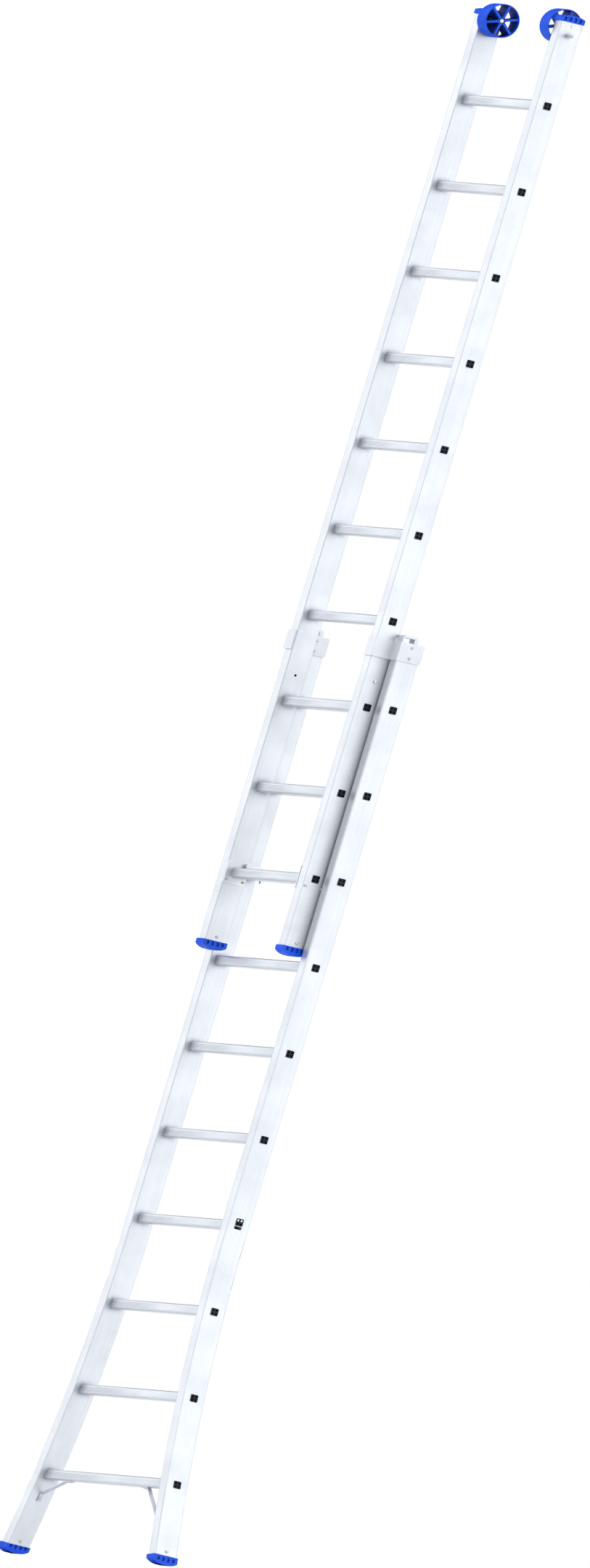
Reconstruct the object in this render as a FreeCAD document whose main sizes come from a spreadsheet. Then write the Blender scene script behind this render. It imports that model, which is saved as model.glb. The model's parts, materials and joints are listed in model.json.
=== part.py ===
import FreeCAD, Part
import math
import os
import re
import Sketcher

# Two-section push-up extension ladder, standing upright on its feet.
# +Z runs up the stiles, -Y is the side that is climbed, X runs along the rungs.
# The fly section (the sliding one) is in front of the base section and inside its stiles.
# Sizes in millimetres. Every length that drives the model is a named cell of the sheet.
SIZES = {
    # rungs
    "rung_pitch": 280,
    "rung_size": 32,
    "rung_corner": 8.5,
    "rung_wall": 1.5,
    "tenon_size": 26.5,
    "tenon_corner": 5,
    "neck_length": 7.5,
    "bore_size": 23.5,
    "bore_corner": 3.5,
    "plug_size": 23.4,
    "plug_length": 12,
    "fit_gap": 0.1,
    "trim_margin": 1,
    # stiles
    "stile_width": 25,
    "stile_depth": 70,
    "stile_wall": 1.7,
    "stile_corner": 3,
    # base section
    "base_spacing": 364,
    "base_y": 34.25,
    "base_first_rung": 259,
    "base_top": 2992,
    "base_bottom": 28,
    "flare_radius": 5790,
    "flare_start": 1099,
    # fly section
    "fly_spacing": 305,
    "fly_y": -22.75,
    "fly_first_rung": 2213,
    "fly_top": 5005,
    "fly_bottom": 1991,
    # end caps
    "cap_width": 29,
    "cap_front": 39.5,
    "cap_rear": 37,
    "foot_height": 28,
    "crown_height": 22,
    "sole_flat": 14,
    "sole_radius": 47,
    "crown_radius": 70,
    "spigot_length": 30,
    "spigot_gap": 0.45,
    "cap_rivet_rise": 13,
    "recess_first": -26,
    "recess_pitch": 16,
    "recess_size": 10,
    "recess_depth": 3,
    "recess_drop": 10,
    "recess_stretch": 2,
    # rivets and screws
    "rivet_radius": 2.5,
    "rivet_head": 4.5,
    "rivet_head_height": 1.5,
    # guides on the top ends of the base stiles
    "guide_bottom": 2935,
    "guide_top": 2996,
    "guide_wall": 3.5,
    "guide_rear_wall": 3.5,
    "guide_arm": 3,
    "guide_gap": 0.15,
    "guide_corner": 4,
    "plate_corner": 7,
    "lip_thickness": 4,
    "lip_gap": 1,
    "lip_corner": 2,
    "eye_width": 20,
    "eye_front": 32,
    "eye_rear": 17.5,
    "eye_height": 23,
    "eye_window": 34,
    "eye_window_height": 15,
    "eye_wall": 3.5,
    "eye_corner": 11,
    "guide_rivet_low": 2948,
    "guide_rivet_high": 2982,
    # wall wheels
    "wheel_radius": 54,
    "wheel_width": 34,
    "wheel_rim": 3.5,
    "tread_corner": 2,
    "wheel_hub": 11.5,
    "wheel_rib": 8,
    "wheel_ribs": 6,
    "wheel_turn": 17,
    "wheel_gap": 3,
    "wheel_y": 4,
    "wheel_z": 4994,
    "sleeve_radius": 6,
    "sleeve_flange": 10,
    "sleeve_flange_thickness": 2.7,
    "running_gap": 0.05,
    "axle_radius": 3,
    "axle_head": 4.2,
    "axle_head_height": 1.6,
    "axle_end": 1,
    "nut_radius": 6.2,
    "nut_height": 6,
    "nut_recess": 8,
    "nut_sink": 8,
    # stops for the sliding travel
    "stop_pin_radius": 5,
    "stop_pin_length": 28,
    "stop_pin_y": -3,
    "stop_pin_z": 4961.3,
    "stop_screw_head": 5,
    "stop_screw_height": 3.5,
    "stop_screw_z": 2857,
    "access_radius": 4,
    # rung hooks
    "plate_thickness": 3,
    "plate_depth": 70,
    "plate_height": 75,
    "plate_corner": 6,
    "plate_hole": 32.6,
    "plate_rivet_y": 27,
    "plate_rivet_drop": 26,
    "hook_thickness": 6,
    "hook_eye": 8,
    "hook_gap": 0.3,
    "hook_pivot_y": 22,
    "hook_pivot_rise": 26,
    "hook_reach": 68,
    "hook_bar_top": 8,
    "hook_bar_under": 3.7,
    "hook_leg": 15,
    "hook_drop": 42,
    "hook_corner": 14,
    "pin_radius": 4,
    "pin_head": 6.5,
    "pin_head_height": 2,
    # braces under the lowest rung
    "brace_width": 12,
    "brace_thickness": 3,
    "brace_top_x": 158,
    "brace_tab": 24,
    "brace_offset": -3,
    "brace_foot_left": 183,
    "brace_foot_right": 95,
}
RUNG_COUNT = 10
FLARED_RUNGS = 3
NEAR = 0.01

doc = FreeCAD.newDocument("extension_ladder")
sheet = doc.addObject("Spreadsheet::Sheet", "sizes")
for row, (alias, number) in enumerate(SIZES.items(), start=1):
    sheet.set("A%d" % row, alias)
    sheet.set("B%d" % row, str(number))
    sheet.setAlias("B%d" % row, alias)
doc.recompute()

ALIASES = re.compile(r"\b(" + "|".join(sorted(SIZES, key=len, reverse=True)) + r")\b")
NODES = []


def bound(text):
    """A formula in cell names, as an expression that reads the sheet."""
    return ALIASES.sub(r"sizes.\1", str(text))


def value(text):
    """What a formula in cell names comes to, as a plain number."""
    result = sheet.evalExpression(bound(text))
    return float(getattr(result, "Value", result))


def bind(thing, **formulas):
    for name, text in formulas.items():
        thing.setExpression(name, bound(text))


def place(thing, x="0", y="0", z="0", turn=None):
    """Placement of an object, its position bound to the sheet."""
    if turn is not None:
        thing.Placement = FreeCAD.Placement(FreeCAD.Vector(), turn)
    for axis, text in zip("xyz", (x, y, z)):
        thing.setExpression("Placement.Base." + axis, bound(text))


def keep(thing, label):
    """Name a finished sub-part: its label is the name of its node and file."""
    thing.Label = label
    NODES.append(thing)
    return thing


# ---------------------------------------------------------------- sketches

def sketch_on(body, role, name):
    plane = next(part for part in body.Origin.OriginFeatures if part.Role == role)
    sketch = body.newObject("Sketcher::SketchObject", body.Name + "_" + name)
    sketch.AttachmentSupport = [(plane, "")]
    sketch.MapMode = "FlatFace"
    return sketch


def constrain(sketch, *details):
    """Add a dimension whose last entry is a formula, bound to the sheet."""
    *where, text = details
    index = sketch.addConstraint(Sketcher.Constraint(*where, value(text)))
    sketch.setExpression("Constraints[%d]" % index, bound(text))


def pin_point(sketch, geometry, point, x, y):
    """Fix one point of a sketch at the formulas x and y."""
    for kind, text, axis in (("DistanceX", x, -2), ("DistanceY", y, -1)):
        if abs(value(text)) < 1e-9:
            sketch.addConstraint(Sketcher.Constraint("PointOnObject", geometry, point, axis))
        else:
            constrain(sketch, kind, -1, 1, geometry, point, text)


def polygon(sketch, corners):
    """Closed outline of straight sides through corners given as pairs of formulas."""
    spots = [FreeCAD.Vector(value(x), value(y), 0) for x, y in corners]
    first = sketch.GeometryCount
    count = len(spots)
    for index, spot in enumerate(spots):
        sketch.addGeometry(Part.LineSegment(spot, spots[(index + 1) % count]), False)
    for index, (x, y) in enumerate(corners):
        before = first + (index - 1) % count
        sketch.addConstraint(Sketcher.Constraint("Coincident", before, 2, first + index, 1))
        pin_point(sketch, first + index, 1, x, y)


def circle(sketch, x, y, radius):
    centre = FreeCAD.Vector(value(x), value(y), 0)
    ring = Part.Circle(centre, FreeCAD.Vector(0, 0, 1), value(radius))
    index = sketch.addGeometry(ring, False)
    constrain(sketch, "Radius", index, radius)
    pin_point(sketch, index, 3, x, y)


def rounded_rectangle(sketch, x, y, width, height, radius):
    """Rectangle centred on x, y with four equal round corners."""
    half_width, half_height, round_off = value(width) / 2, value(height) / 2, value(radius)
    centre = FreeCAD.Vector(value(x), value(y), 0)
    lines, arcs = [], []
    for quarter in range(4):
        turn = FreeCAD.Rotation(FreeCAD.Vector(0, 0, 1), 90 * quarter)
        along, out = (half_width, half_height) if quarter % 2 == 0 else (half_height, half_width)
        ends = [turn.multVec(FreeCAD.Vector(side * (along - round_off), -out, 0)) for side in (-1, 1)]
        lines.append(sketch.addGeometry(Part.LineSegment(centre + ends[0], centre + ends[1]), False))
        hub = centre + turn.multVec(FreeCAD.Vector(along - round_off, round_off - out, 0))
        ring = Part.Circle(hub, FreeCAD.Vector(0, 0, 1), round_off)
        start = math.radians(90 * quarter - 90)
        arcs.append(sketch.addGeometry(Part.ArcOfCircle(ring, start, start + math.pi / 2), False))
    for quarter in range(4):
        following = lines[(quarter + 1) % 4]
        sketch.addConstraint(Sketcher.Constraint("Tangent", lines[quarter], 2, arcs[quarter], 1))
        sketch.addConstraint(Sketcher.Constraint("Tangent", arcs[quarter], 2, following, 1))
        level = "Horizontal" if quarter % 2 == 0 else "Vertical"
        sketch.addConstraint(Sketcher.Constraint(level, lines[quarter]))
        if quarter:
            sketch.addConstraint(Sketcher.Constraint("Equal", arcs[0], arcs[quarter]))
    constrain(sketch, "Radius", arcs[0], radius)
    constrain(sketch, "DistanceX", lines[3], 1, lines[1], 1, width)
    constrain(sketch, "DistanceY", lines[0], 1, lines[2], 1, height)
    constrain(sketch, "DistanceX", -1, 1, lines[1], 1, "(%s) + (%s) / 2" % (x, width))
    constrain(sketch, "DistanceY", -1, 1, lines[2], 1, "(%s) + (%s) / 2" % (y, height))


# ---------------------------------------------------------------- features

def feature(body, kind, name, sketch, length, side="Symmetric", flip=False):
    made = body.newObject("PartDesign::" + kind, body.Name + "_" + name)
    made.Profile = sketch
    made.SideType = side
    made.Reversed = flip
    bind(made, Length=length)
    return made


def repeat_upwards(body, name, original, count, pitch):
    """Repeat a feature up the Z axis, count times in all."""
    pattern = body.newObject("PartDesign::LinearPattern", body.Name + "_" + name)
    pattern.Originals = [original]
    axis = next(part for part in body.Origin.OriginFeatures if part.Role == "Z_Axis")
    pattern.Direction = (axis, [""])
    pattern.Occurrences = count
    bind(pattern, Length="%s * %d" % (pitch, count - 1))
    body.Tip = pattern
    return pattern


def round_edges(body, name, radius, choose):
    """Fillet the edges of the body's tip that choose picks."""
    doc.recompute()
    base = body.Tip
    picked = ["Edge%d" % number for number, edge in enumerate(base.Shape.Edges, start=1) if choose(edge)]
    fillet = body.newObject("PartDesign::Fillet", body.Name + "_" + name)
    fillet.Base = (base, picked)
    bind(fillet, Radius=radius)
    return fillet


def box(name, low, high):
    """Block between two corners given as formulas."""
    block = doc.addObject("Part::Box", name)
    place(block, *low)
    for side, start, end in zip(("Length", "Width", "Height"), low, high):
        bind(block, **{side: "(%s) - (%s)" % (end, start)})
    return block


def rod(name, start, length, radius):
    """Cylinder along +X from start."""
    cylinder = doc.addObject("Part::Cylinder", name)
    place(cylinder, *start, turn=FreeCAD.Rotation(FreeCAD.Vector(0, 1, 0), 90))
    bind(cylinder, Radius=radius, Height=length)
    return cylinder


def cut(name, base, tool):
    result = doc.addObject("Part::Cut", name)
    result.Base, result.Tool = base, tool
    return result


def common(name, base, tool):
    result = doc.addObject("Part::Common", name)
    result.Base, result.Tool = base, tool
    return result


def fuse(name, parts):
    result = doc.addObject("Part::MultiFuse", name)
    result.Shapes = parts
    return result


def group(name, parts):
    """Separate solids that share one node."""
    result = doc.addObject("Part::Compound", name)
    result.Links = parts
    return result


def mirrored(source, name):
    """The same piece for the other side of the ladder."""
    result = doc.addObject("Part::Mirroring", name)
    result.Source = source
    result.Normal = FreeCAD.Vector(1, 0, 0)
    return result


# ---------------------------------------------------------------- the flare of the base stiles

def flare(z, outward="0"):
    """X of a line at the distance outward from the middle of the right base stile, at height z.

    Above flare_start the stile is straight; below, it is an arc that is tangent there."""
    reach = "flare_radius - (%s)" % outward
    return "base_spacing / 2 + flare_radius - sqrt((%s)^2 - (flare_start - (%s))^2)" % (reach, z)


def flare_angle(z):
    """Lean of the flared stile at height z, in degrees."""
    return math.degrees(math.asin(value("(flare_start - (%s)) / flare_radius" % z)))


def lean(z):
    """Turn of a piece that is square to the flared right stile at height z."""
    return FreeCAD.Rotation(FreeCAD.Vector(0, 1, 0), -flare_angle(z))


# ---------------------------------------------------------------- stiles

CAP_RIVET_Z = "base_bottom + cap_rivet_rise"
BRACE_RIVET_X = "brace_top_x - brace_tab / 2"
FLY_OUTER = "fly_spacing / 2 + stile_width / 2"
FLY_INNER = "fly_spacing / 2 - stile_width / 2"


def stile_section(sketch, x):
    """Rounded box section with a wall of even thickness."""
    inner_corner = "stile_corner - stile_wall"
    rounded_rectangle(sketch, x, "0", "stile_width", "stile_depth", "stile_corner")
    rounded_rectangle(sketch, x, "0", "stile_width - 2 * stile_wall",
                      "stile_depth - 2 * stile_wall", inner_corner)


def rung_holes(body, first_rung, side, reach):
    sketch = sketch_on(body, "YZ_Plane", "rung_hole_shape")
    hole, corner = "tenon_size + fit_gap", "tenon_corner"
    rounded_rectangle(sketch, "0", first_rung, hole, hole, corner)
    pocket = feature(body, "Pocket", "rung_hole", sketch, reach, side, flip=True)
    repeat_upwards(body, "rung_holes", pocket, RUNG_COUNT, "rung_pitch")


def square_hole(body, name, z, radius):
    """Round hole square to the faces of the flared stile at height z."""
    sketch = sketch_on(body, "YZ_Plane", name + "_shape")
    tilt = FreeCAD.Rotation(FreeCAD.Vector(1, 0, 0), -flare_angle(z))
    sketch.AttachmentOffset = FreeCAD.Placement(FreeCAD.Vector(), tilt)
    sketch.setExpression("AttachmentOffset.Base.y", bound(z))
    sketch.setExpression("AttachmentOffset.Base.z", bound(flare(z)))
    circle(sketch, "0", "0", radius)
    feature(body, "Pocket", name, sketch, "2 * stile_width")


def drill(name, solid, x, y, z, radius, turn=FreeCAD.Rotation()):
    """Cross hole along X, two stile widths long, turned with the stile."""
    drill_bit = rod(name + "_bit", ("-1 * stile_width", "0", "0"), "2 * stile_width", radius)
    carrier = group(name + "_bits", [drill_bit])
    place(carrier, x, y, z, turn)
    return cut(name, solid, carrier)


def brace_hole(side, stile):
    """The stile with the hole for its brace in the inner wall; the two sides differ in height."""
    z = "brace_foot_" + side
    sine = "((flare_start - %s) / flare_radius)" % z
    return drill("base_stile_%s_drilled" % side, stile,
                 "%s - stile_width * sqrt(1 - %s^2)" % (flare(z), sine), "base_y + brace_offset",
                 "%s - stile_width * %s" % (z, sine), "rivet_radius + fit_gap", lean(z))


def base_stile():
    body = doc.addObject("PartDesign::Body", "base_stile_blank")
    place(body, y="base_y")
    path = sketch_on(body, "XZ_Plane", "path")
    middle = value("base_spacing / 2")
    bend_start = FreeCAD.Vector(middle, SIZES["flare_start"], 0)
    straight = path.addGeometry(Part.LineSegment(
        FreeCAD.Vector(middle, SIZES["base_top"], 0), bend_start), False)
    hub = bend_start + FreeCAD.Vector(SIZES["flare_radius"], 0, 0)
    ring = Part.Circle(hub, FreeCAD.Vector(0, 0, 1), SIZES["flare_radius"])
    foot_turn = math.radians(flare_angle("base_bottom"))
    bend = path.addGeometry(Part.ArcOfCircle(ring, math.pi, math.pi + foot_turn), False)
    path.addConstraint(Sketcher.Constraint("Coincident", straight, 2, bend, 1))
    pin_point(path, straight, 1, "base_spacing / 2", "base_top")
    pin_point(path, bend, 3, "base_spacing / 2 + flare_radius", "flare_start")
    pin_point(path, straight, 2, "base_spacing / 2", "flare_start")
    constrain(path, "DistanceY", -1, 1, bend, 2, "base_bottom")
    section = sketch_on(body, "XY_Plane", "section")
    section.setExpression("AttachmentOffset.Base.z", bound("base_top"))
    stile_section(section, "base_spacing / 2")
    tube = body.newObject("PartDesign::AdditivePipe", "base_stile_tube")
    tube.Profile = section
    tube.Spine = path
    rung_holes(body, "base_first_rung", "One side", "base_spacing")
    drilled = sketch_on(body, "YZ_Plane", "guide_rivet_hole_shape")
    for height in ("guide_rivet_low", "guide_rivet_high"):
        circle(drilled, "0", height, "rivet_radius + fit_gap")
    feature(body, "Pocket", "guide_rivet_holes", drilled, "base_spacing", "One side", flip=True)
    square_hole(body, "foot_rivet_hole", CAP_RIVET_Z, "rivet_radius + fit_gap")
    keep(brace_hole("right", body), "base_stile_right")
    keep(mirrored(brace_hole("left", body), "base_stile_left_mirror"), "base_stile_left")


def fly_stile():
    body = doc.addObject("PartDesign::Body", "fly_stile_right")
    place(body, x="fly_spacing / 2", y="fly_y")
    section = sketch_on(body, "XY_Plane", "section")
    section.setExpression("AttachmentOffset.Base.z", bound("fly_bottom"))
    stile_section(section, "0")
    feature(body, "Pad", "tube", section, "fly_top - fly_bottom", "One side")
    rung_holes(body, "fly_first_rung", "Symmetric", "2 * stile_width")
    through = sketch_on(body, "YZ_Plane", "through_hole_shape")
    circle(through, "wheel_y", "wheel_z", "axle_radius + fit_gap")
    circle(through, "0", "fly_bottom + cap_rivet_rise", "rivet_radius + fit_gap")
    for y in ("plate_rivet_y", "-plate_rivet_y"):
        circle(through, y, "fly_first_rung - plate_rivet_drop", "rivet_radius + fit_gap")
    feature(body, "Pocket", "through_holes", through, "2 * stile_width")
    outer = sketch_on(body, "YZ_Plane", "outer_hole_shape")
    circle(outer, "stop_pin_y", "stop_pin_z", "rivet_radius + fit_gap")
    circle(outer, "0", "stop_screw_z", "rivet_radius + fit_gap")
    feature(body, "Pocket", "outer_holes", outer, "stile_width", "One side", flip=True)
    inner = sketch_on(body, "YZ_Plane", "inner_hole_shape")
    circle(inner, "hook_pivot_y", "fly_first_rung + hook_pivot_rise", "pin_radius + fit_gap")
    circle(inner, "0", "stop_screw_z", "access_radius")
    feature(body, "Pocket", "inner_holes", inner, "stile_width", "One side")
    keep(body, "fly_stile_right")
    keep(mirrored(body, "fly_stile_left_mirror"), "fly_stile_left")


# ---------------------------------------------------------------- rungs

def trim_ends(body, name, reach, half_height, z):
    """Cut both ends of a rung to the slant of the flared stiles."""
    slope = sketch_on(body, "XZ_Plane", name + "_shape")
    low, high = "-(%s)" % half_height, half_height
    far = "(%s) + 5 * trim_margin" % reach("(%s) + (%s)" % (z, low))
    near_low = reach("(%s) + (%s)" % (z, low))
    near_high = reach("(%s) + (%s)" % (z, high))
    for sign in ("", "-1 * "):
        polygon(slope, [(sign + "(%s)" % near_low, low), (sign + "(%s)" % far, low),
                        (sign + "(%s)" % far, high), (sign + "(%s)" % near_high, high)])
    feature(body, "Pocket", name, slope, "2 * rung_size")


def rung(label, y, z, shoulder, end, flared=False):
    """Square tube with round corners, drawn in at its ends to tenons that go through the stiles."""
    body = doc.addObject("PartDesign::Body", label)
    place(body, y=y, z=z)
    low = "(%s) - rung_size / 2" % z
    bar_half = shoulder(low)
    tenon_half = end(low)
    bar_shape = sketch_on(body, "YZ_Plane", "bar_shape")
    rounded_rectangle(bar_shape, "0", "0", "rung_size", "rung_size", "rung_corner")
    feature(body, "Pad", "bar", bar_shape, "2 * (%s)" % bar_half)
    if flared:
        trim_ends(body, "shoulders", shoulder, "rung_size / 2 + trim_margin", z)
    tenon_shape = sketch_on(body, "YZ_Plane", "tenon_shape")
    rounded_rectangle(tenon_shape, "0", "0", "tenon_size", "tenon_size", "tenon_corner")
    feature(body, "Pad", "tenon", tenon_shape, "2 * (%s)" % tenon_half)
    if flared:
        trim_ends(body, "tenon_ends", end, "tenon_size / 2 + trim_margin", z)
    bore_shape = sketch_on(body, "YZ_Plane", "bore_shape")
    rounded_rectangle(bore_shape, "0", "0", "bore_size", "bore_size", "bore_corner")
    feature(body, "Pocket", "bore", bore_shape, "3 * (%s)" % tenon_half)
    hollow_shape = sketch_on(body, "YZ_Plane", "hollow_shape")
    hollow = "rung_size - 2 * rung_wall"
    rounded_rectangle(hollow_shape, "0", "0", hollow, hollow, "rung_corner - rung_wall")
    feature(body, "Pocket", "hollow", hollow_shape, "2 * (%s) - 2 * neck_length" % bar_half)
    return keep(body, label)


def flare_inner(z):
    return "(%s) - fit_gap" % flare(z, "-stile_width / 2")


def flare_outer(z):
    return flare(z, "stile_width / 2")


def base_rungs():
    for number in range(RUNG_COUNT):
        z = "base_first_rung + rung_pitch * %d" % number
        label = "base_rung_%02d" % (number + 1)
        if number < FLARED_RUNGS:
            body = rung(label, "base_y", z, flare_inner, flare_outer, flared=True)
        else:
            rung(label, "base_y", z, lambda _: "base_spacing / 2 - stile_width / 2",
                 lambda _: "base_spacing / 2 + stile_width / 2")
        if number == 0:
            holes = sketch_on(body, "XY_Plane", "brace_hole_shape")
            for sign in (1, -1):
                circle(holes, "%d * (%s)" % (sign, BRACE_RIVET_X), "brace_offset", "rivet_radius + fit_gap")
            feature(body, "Pocket", "brace_holes", holes, "rung_size", "One side")


def fly_rungs():
    for number in range(RUNG_COUNT):
        z = "fly_first_rung + rung_pitch * %d" % number
        rung("fly_rung_%02d" % (number + 1), "fly_y", z, lambda _: FLY_INNER, lambda _: FLY_OUTER)


def plug_row(name, y, first_rung, start, length):
    """Ten rounded square bars along +X, one in line with each rung."""
    sketch = doc.addObject("Sketcher::SketchObject", name + "_shape")
    upright = FreeCAD.Rotation(FreeCAD.Vector(1, 1, 1), 120)
    place(sketch, start, y, "0", upright)
    for number in range(RUNG_COUNT):
        z = "%s + rung_pitch * %d" % (first_rung, number)
        rounded_rectangle(sketch, "0", z, "plug_size", "plug_size", "bore_corner")
    row = doc.addObject("Part::Extrusion", name)
    row.Base = sketch
    row.DirMode = "Normal"
    row.Solid = True
    bind(row, LengthFwd=length)
    return row


def end_zone():
    """The outermost plug length of the space between the outer faces of the base stiles."""
    zone = doc.addObject("PartDesign::Body", "base_end_zone")
    place(zone, y="base_y")
    straight = "base_spacing / 2 + stile_width / 2"
    knees = [("base_top", straight), ("flare_start", straight)]
    for number in reversed(range(FLARED_RUNGS)):
        for sign in "+-":
            z = "base_first_rung + rung_pitch * %d %s plug_size / 2" % (number, sign)
            knees.append((z, flare_outer(z)))
    outline = [(x, z) for z, x in knees]
    outline += [("(%s) - plug_length" % x, z) for z, x in reversed(knees)]
    slab = sketch_on(zone, "XZ_Plane", "slab_shape")
    polygon(slab, outline)
    feature(zone, "Pad", "slab", slab, "stile_depth")
    return zone


def rung_plugs():
    """Plastic plugs that close the rung ends, flush with the outer faces of the stiles."""
    fly = plug_row("fly_plugs_right", "fly_y", "fly_first_rung", "(%s) - plug_length" % FLY_OUTER,
                   "plug_length")
    keep(group("fly_rung_plugs", [fly, mirrored(fly, "fly_plugs_left")]), "fly_rung_plugs")
    bars = plug_row("base_plug_bars", "base_y", "base_first_rung", "base_spacing / 4", "base_spacing")
    base = common("base_plugs_right", bars, end_zone())
    keep(group("base_rung_plugs", [base, mirrored(base, "base_plugs_left")]), "base_rung_plugs")


# ---------------------------------------------------------------- end caps

RECESS_COUNT = 4


def stile_cap(name, height, radius, sine="0"):
    """Moulded plug for a stile end, with the stile end at the origin and the stile above it.

    The block below the stile is a rocker from front to rear with a small flat in its middle.
    sine is that of the stile's lean; the sole stays level."""
    cosine = "sqrt(1 - (%s)^2)" % sine
    half, slant = "cap_width / 2", "((%s) / (%s))" % (sine, cosine)
    blank = doc.addObject("PartDesign::Body", name + "_blank")
    profile = sketch_on(blank, "XZ_Plane", "profile")
    polygon(profile, [("-1 * %s * %s" % (half, cosine), "-1 * %s * (%s)" % (half, sine)),
                      ("%s * %s" % (half, cosine), "%s * (%s)" % (half, sine)),
                      ("%s / %s + %s * %s" % (half, cosine, height, slant), "-1 * " + height),
                      ("-1 * %s / %s + %s * %s" % (half, cosine, height, slant), "-1 * " + height)])
    feature(blank, "Pad", "block", profile, "2 * cap_front")
    far = "3 * cap_width"
    depth = box(name + "_depth", ("-1 * " + far, "-1 * cap_front", "-1 * " + height),
                (far, "cap_rear", "cap_width"))
    middle = "%s - %s" % (radius, height)
    drums = [rod(name + side, ("-1 * " + far, sign + "sole_flat / 2", middle), "2 * " + far, radius)
             for side, sign in (("_front_drum", "-1 * "), ("_rear_drum", ""))]
    flat = box(name + "_flat", ("-1 * " + far, "-1 * sole_flat / 2", "-1 * " + height),
               (far, "sole_flat / 2", "cap_width"))
    rocker = fuse(name + "_rocker", drums + [flat])
    shaped = common(name + "_shaped", common(name + "_sized", blank, depth), rocker)
    recesses = []
    for number in range(RECESS_COUNT):
        y = "(recess_first + recess_pitch * %d)" % number
        top = "-1 * recess_drop + recess_stretch"
        low = "-1 * recess_drop" if number in (0, RECESS_COUNT - 1) else "-1 * recess_drop - recess_stretch"
        for side in (1, -1):
            face = "%d * %s / %s + recess_drop * %s" % (side, half, cosine, slant)
            for z in (top, low):
                recesses.append(rod("%s_recess_%d" % (name, len(recesses)),
                                    ("%s - recess_depth" % face, y, z), "2 * recess_depth", "recess_size / 2"))
    block = cut(name + "_block", shaped, fuse(name + "_recesses", recesses))
    inside, deep = ["(stile_%s - 2 * stile_wall - 2 * spigot_gap)" % side for side in ("width", "depth")]
    spigot = box(name + "_spigot", ("0", "0", "0"), (inside, deep, "spigot_length"))
    turn = FreeCAD.Rotation(FreeCAD.Vector(0, 1, 0), -math.degrees(math.asin(value(sine))))
    place(spigot, "-1 * %s / 2 * %s" % (inside, cosine), "-1 * %s / 2" % deep,
          "-1 * %s / 2 * (%s)" % (inside, sine), turn)
    return fuse(name, [block, spigot])


def caps():
    sine = "((flare_start - base_bottom) / flare_radius)"
    hole = "rivet_radius + fit_gap"
    foot = stile_cap("base_foot_blank", "foot_height", "sole_radius", sine)
    foot = drill("base_foot", foot, "%s - (%s)" % (flare(CAP_RIVET_Z), flare("base_bottom")), "0",
                 "cap_rivet_rise", hole, lean(CAP_RIVET_Z))
    place(foot, flare("base_bottom"), "base_y", "base_bottom")
    keep(foot, "foot_cap_right")
    keep(mirrored(foot, "base_foot_left"), "foot_cap_left")
    fly_foot = stile_cap("fly_foot_blank", "foot_height", "sole_radius")
    fly_foot = drill("fly_foot", fly_foot, "0", "0", "cap_rivet_rise", hole)
    place(fly_foot, "fly_spacing / 2", "fly_y", "fly_bottom")
    keep(fly_foot, "fly_foot_cap_right")
    keep(mirrored(fly_foot, "fly_foot_left"), "fly_foot_cap_left")
    crown = stile_cap("crown_blank", "crown_height", "crown_radius")
    crown = drill("crown", crown, "0", "wheel_y", "fly_top - wheel_z", "axle_radius + fit_gap")
    place(crown, "fly_spacing / 2", "fly_y", "fly_top", FreeCAD.Rotation(FreeCAD.Vector(0, 1, 0), 180))
    keep(crown, "top_cap_right")
    keep(mirrored(crown, "crown_left"), "top_cap_left")


# ---------------------------------------------------------------- rivets and stops

def rivet(name, length, x, y, z, turn=FreeCAD.Rotation()):
    """Rivet along X with a flat round head at each end of a grip of the given length."""
    half = "(%s) / 2" % length
    shank = rod(name + "_shank", ("-1 * %s" % half, "0", "0"), length, "rivet_radius")
    heads = [rod(name + "_outer_head", (half, "0", "0"), "rivet_head_height", "rivet_head"),
             rod(name + "_inner_head", ("-1 * %s - rivet_head_height" % half, "0", "0"),
                 "rivet_head_height", "rivet_head")]
    whole = fuse(name, [shank] + heads)
    place(whole, x, y, z, turn)
    return whole


def brace_rivets():
    """Rivets up into the lowest rung, and square to the leaning stiles through their inner walls."""
    y = "base_y + brace_offset"
    upper_grip = "(rung_wall + fit_gap + brace_thickness)"
    upper_z = "base_first_rung - rung_size / 2 + rung_wall - %s / 2" % upper_grip
    down = FreeCAD.Rotation(FreeCAD.Vector(0, 1, 0), 90)
    lower_grip = "(stile_wall + 2 * fit_gap + brace_thickness)"
    depth = "(stile_width / 2 - stile_wall + %s / 2 - fit_gap / 2)" % lower_grip
    sets = {}
    for side in ("right", "left"):
        foot = "brace_foot_" + side
        sine = "((flare_start - %s) / flare_radius)" % foot
        upper = rivet("brace_upper_rivet_" + side, upper_grip, BRACE_RIVET_X, y, upper_z, down)
        lower = rivet("brace_lower_rivet_" + side, lower_grip,
                      "%s - %s * sqrt(1 - %s^2)" % (flare(foot), depth, sine), y,
                      "%s - %s * %s" % (foot, depth, sine), lean(foot))
        sets[side] = group("brace_rivets_" + side, [upper, lower])
    keep(group("brace_rivets", [sets["right"], mirrored(sets["left"], "brace_rivets_left_set")]),
         "brace_rivets")


def both_sides(label, parts):
    """One node that holds the right-hand pieces and their mirror images."""
    right = group(label + "_right_set", parts)
    keep(group(label, [right, mirrored(right, label + "_left_set")]), label)


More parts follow.
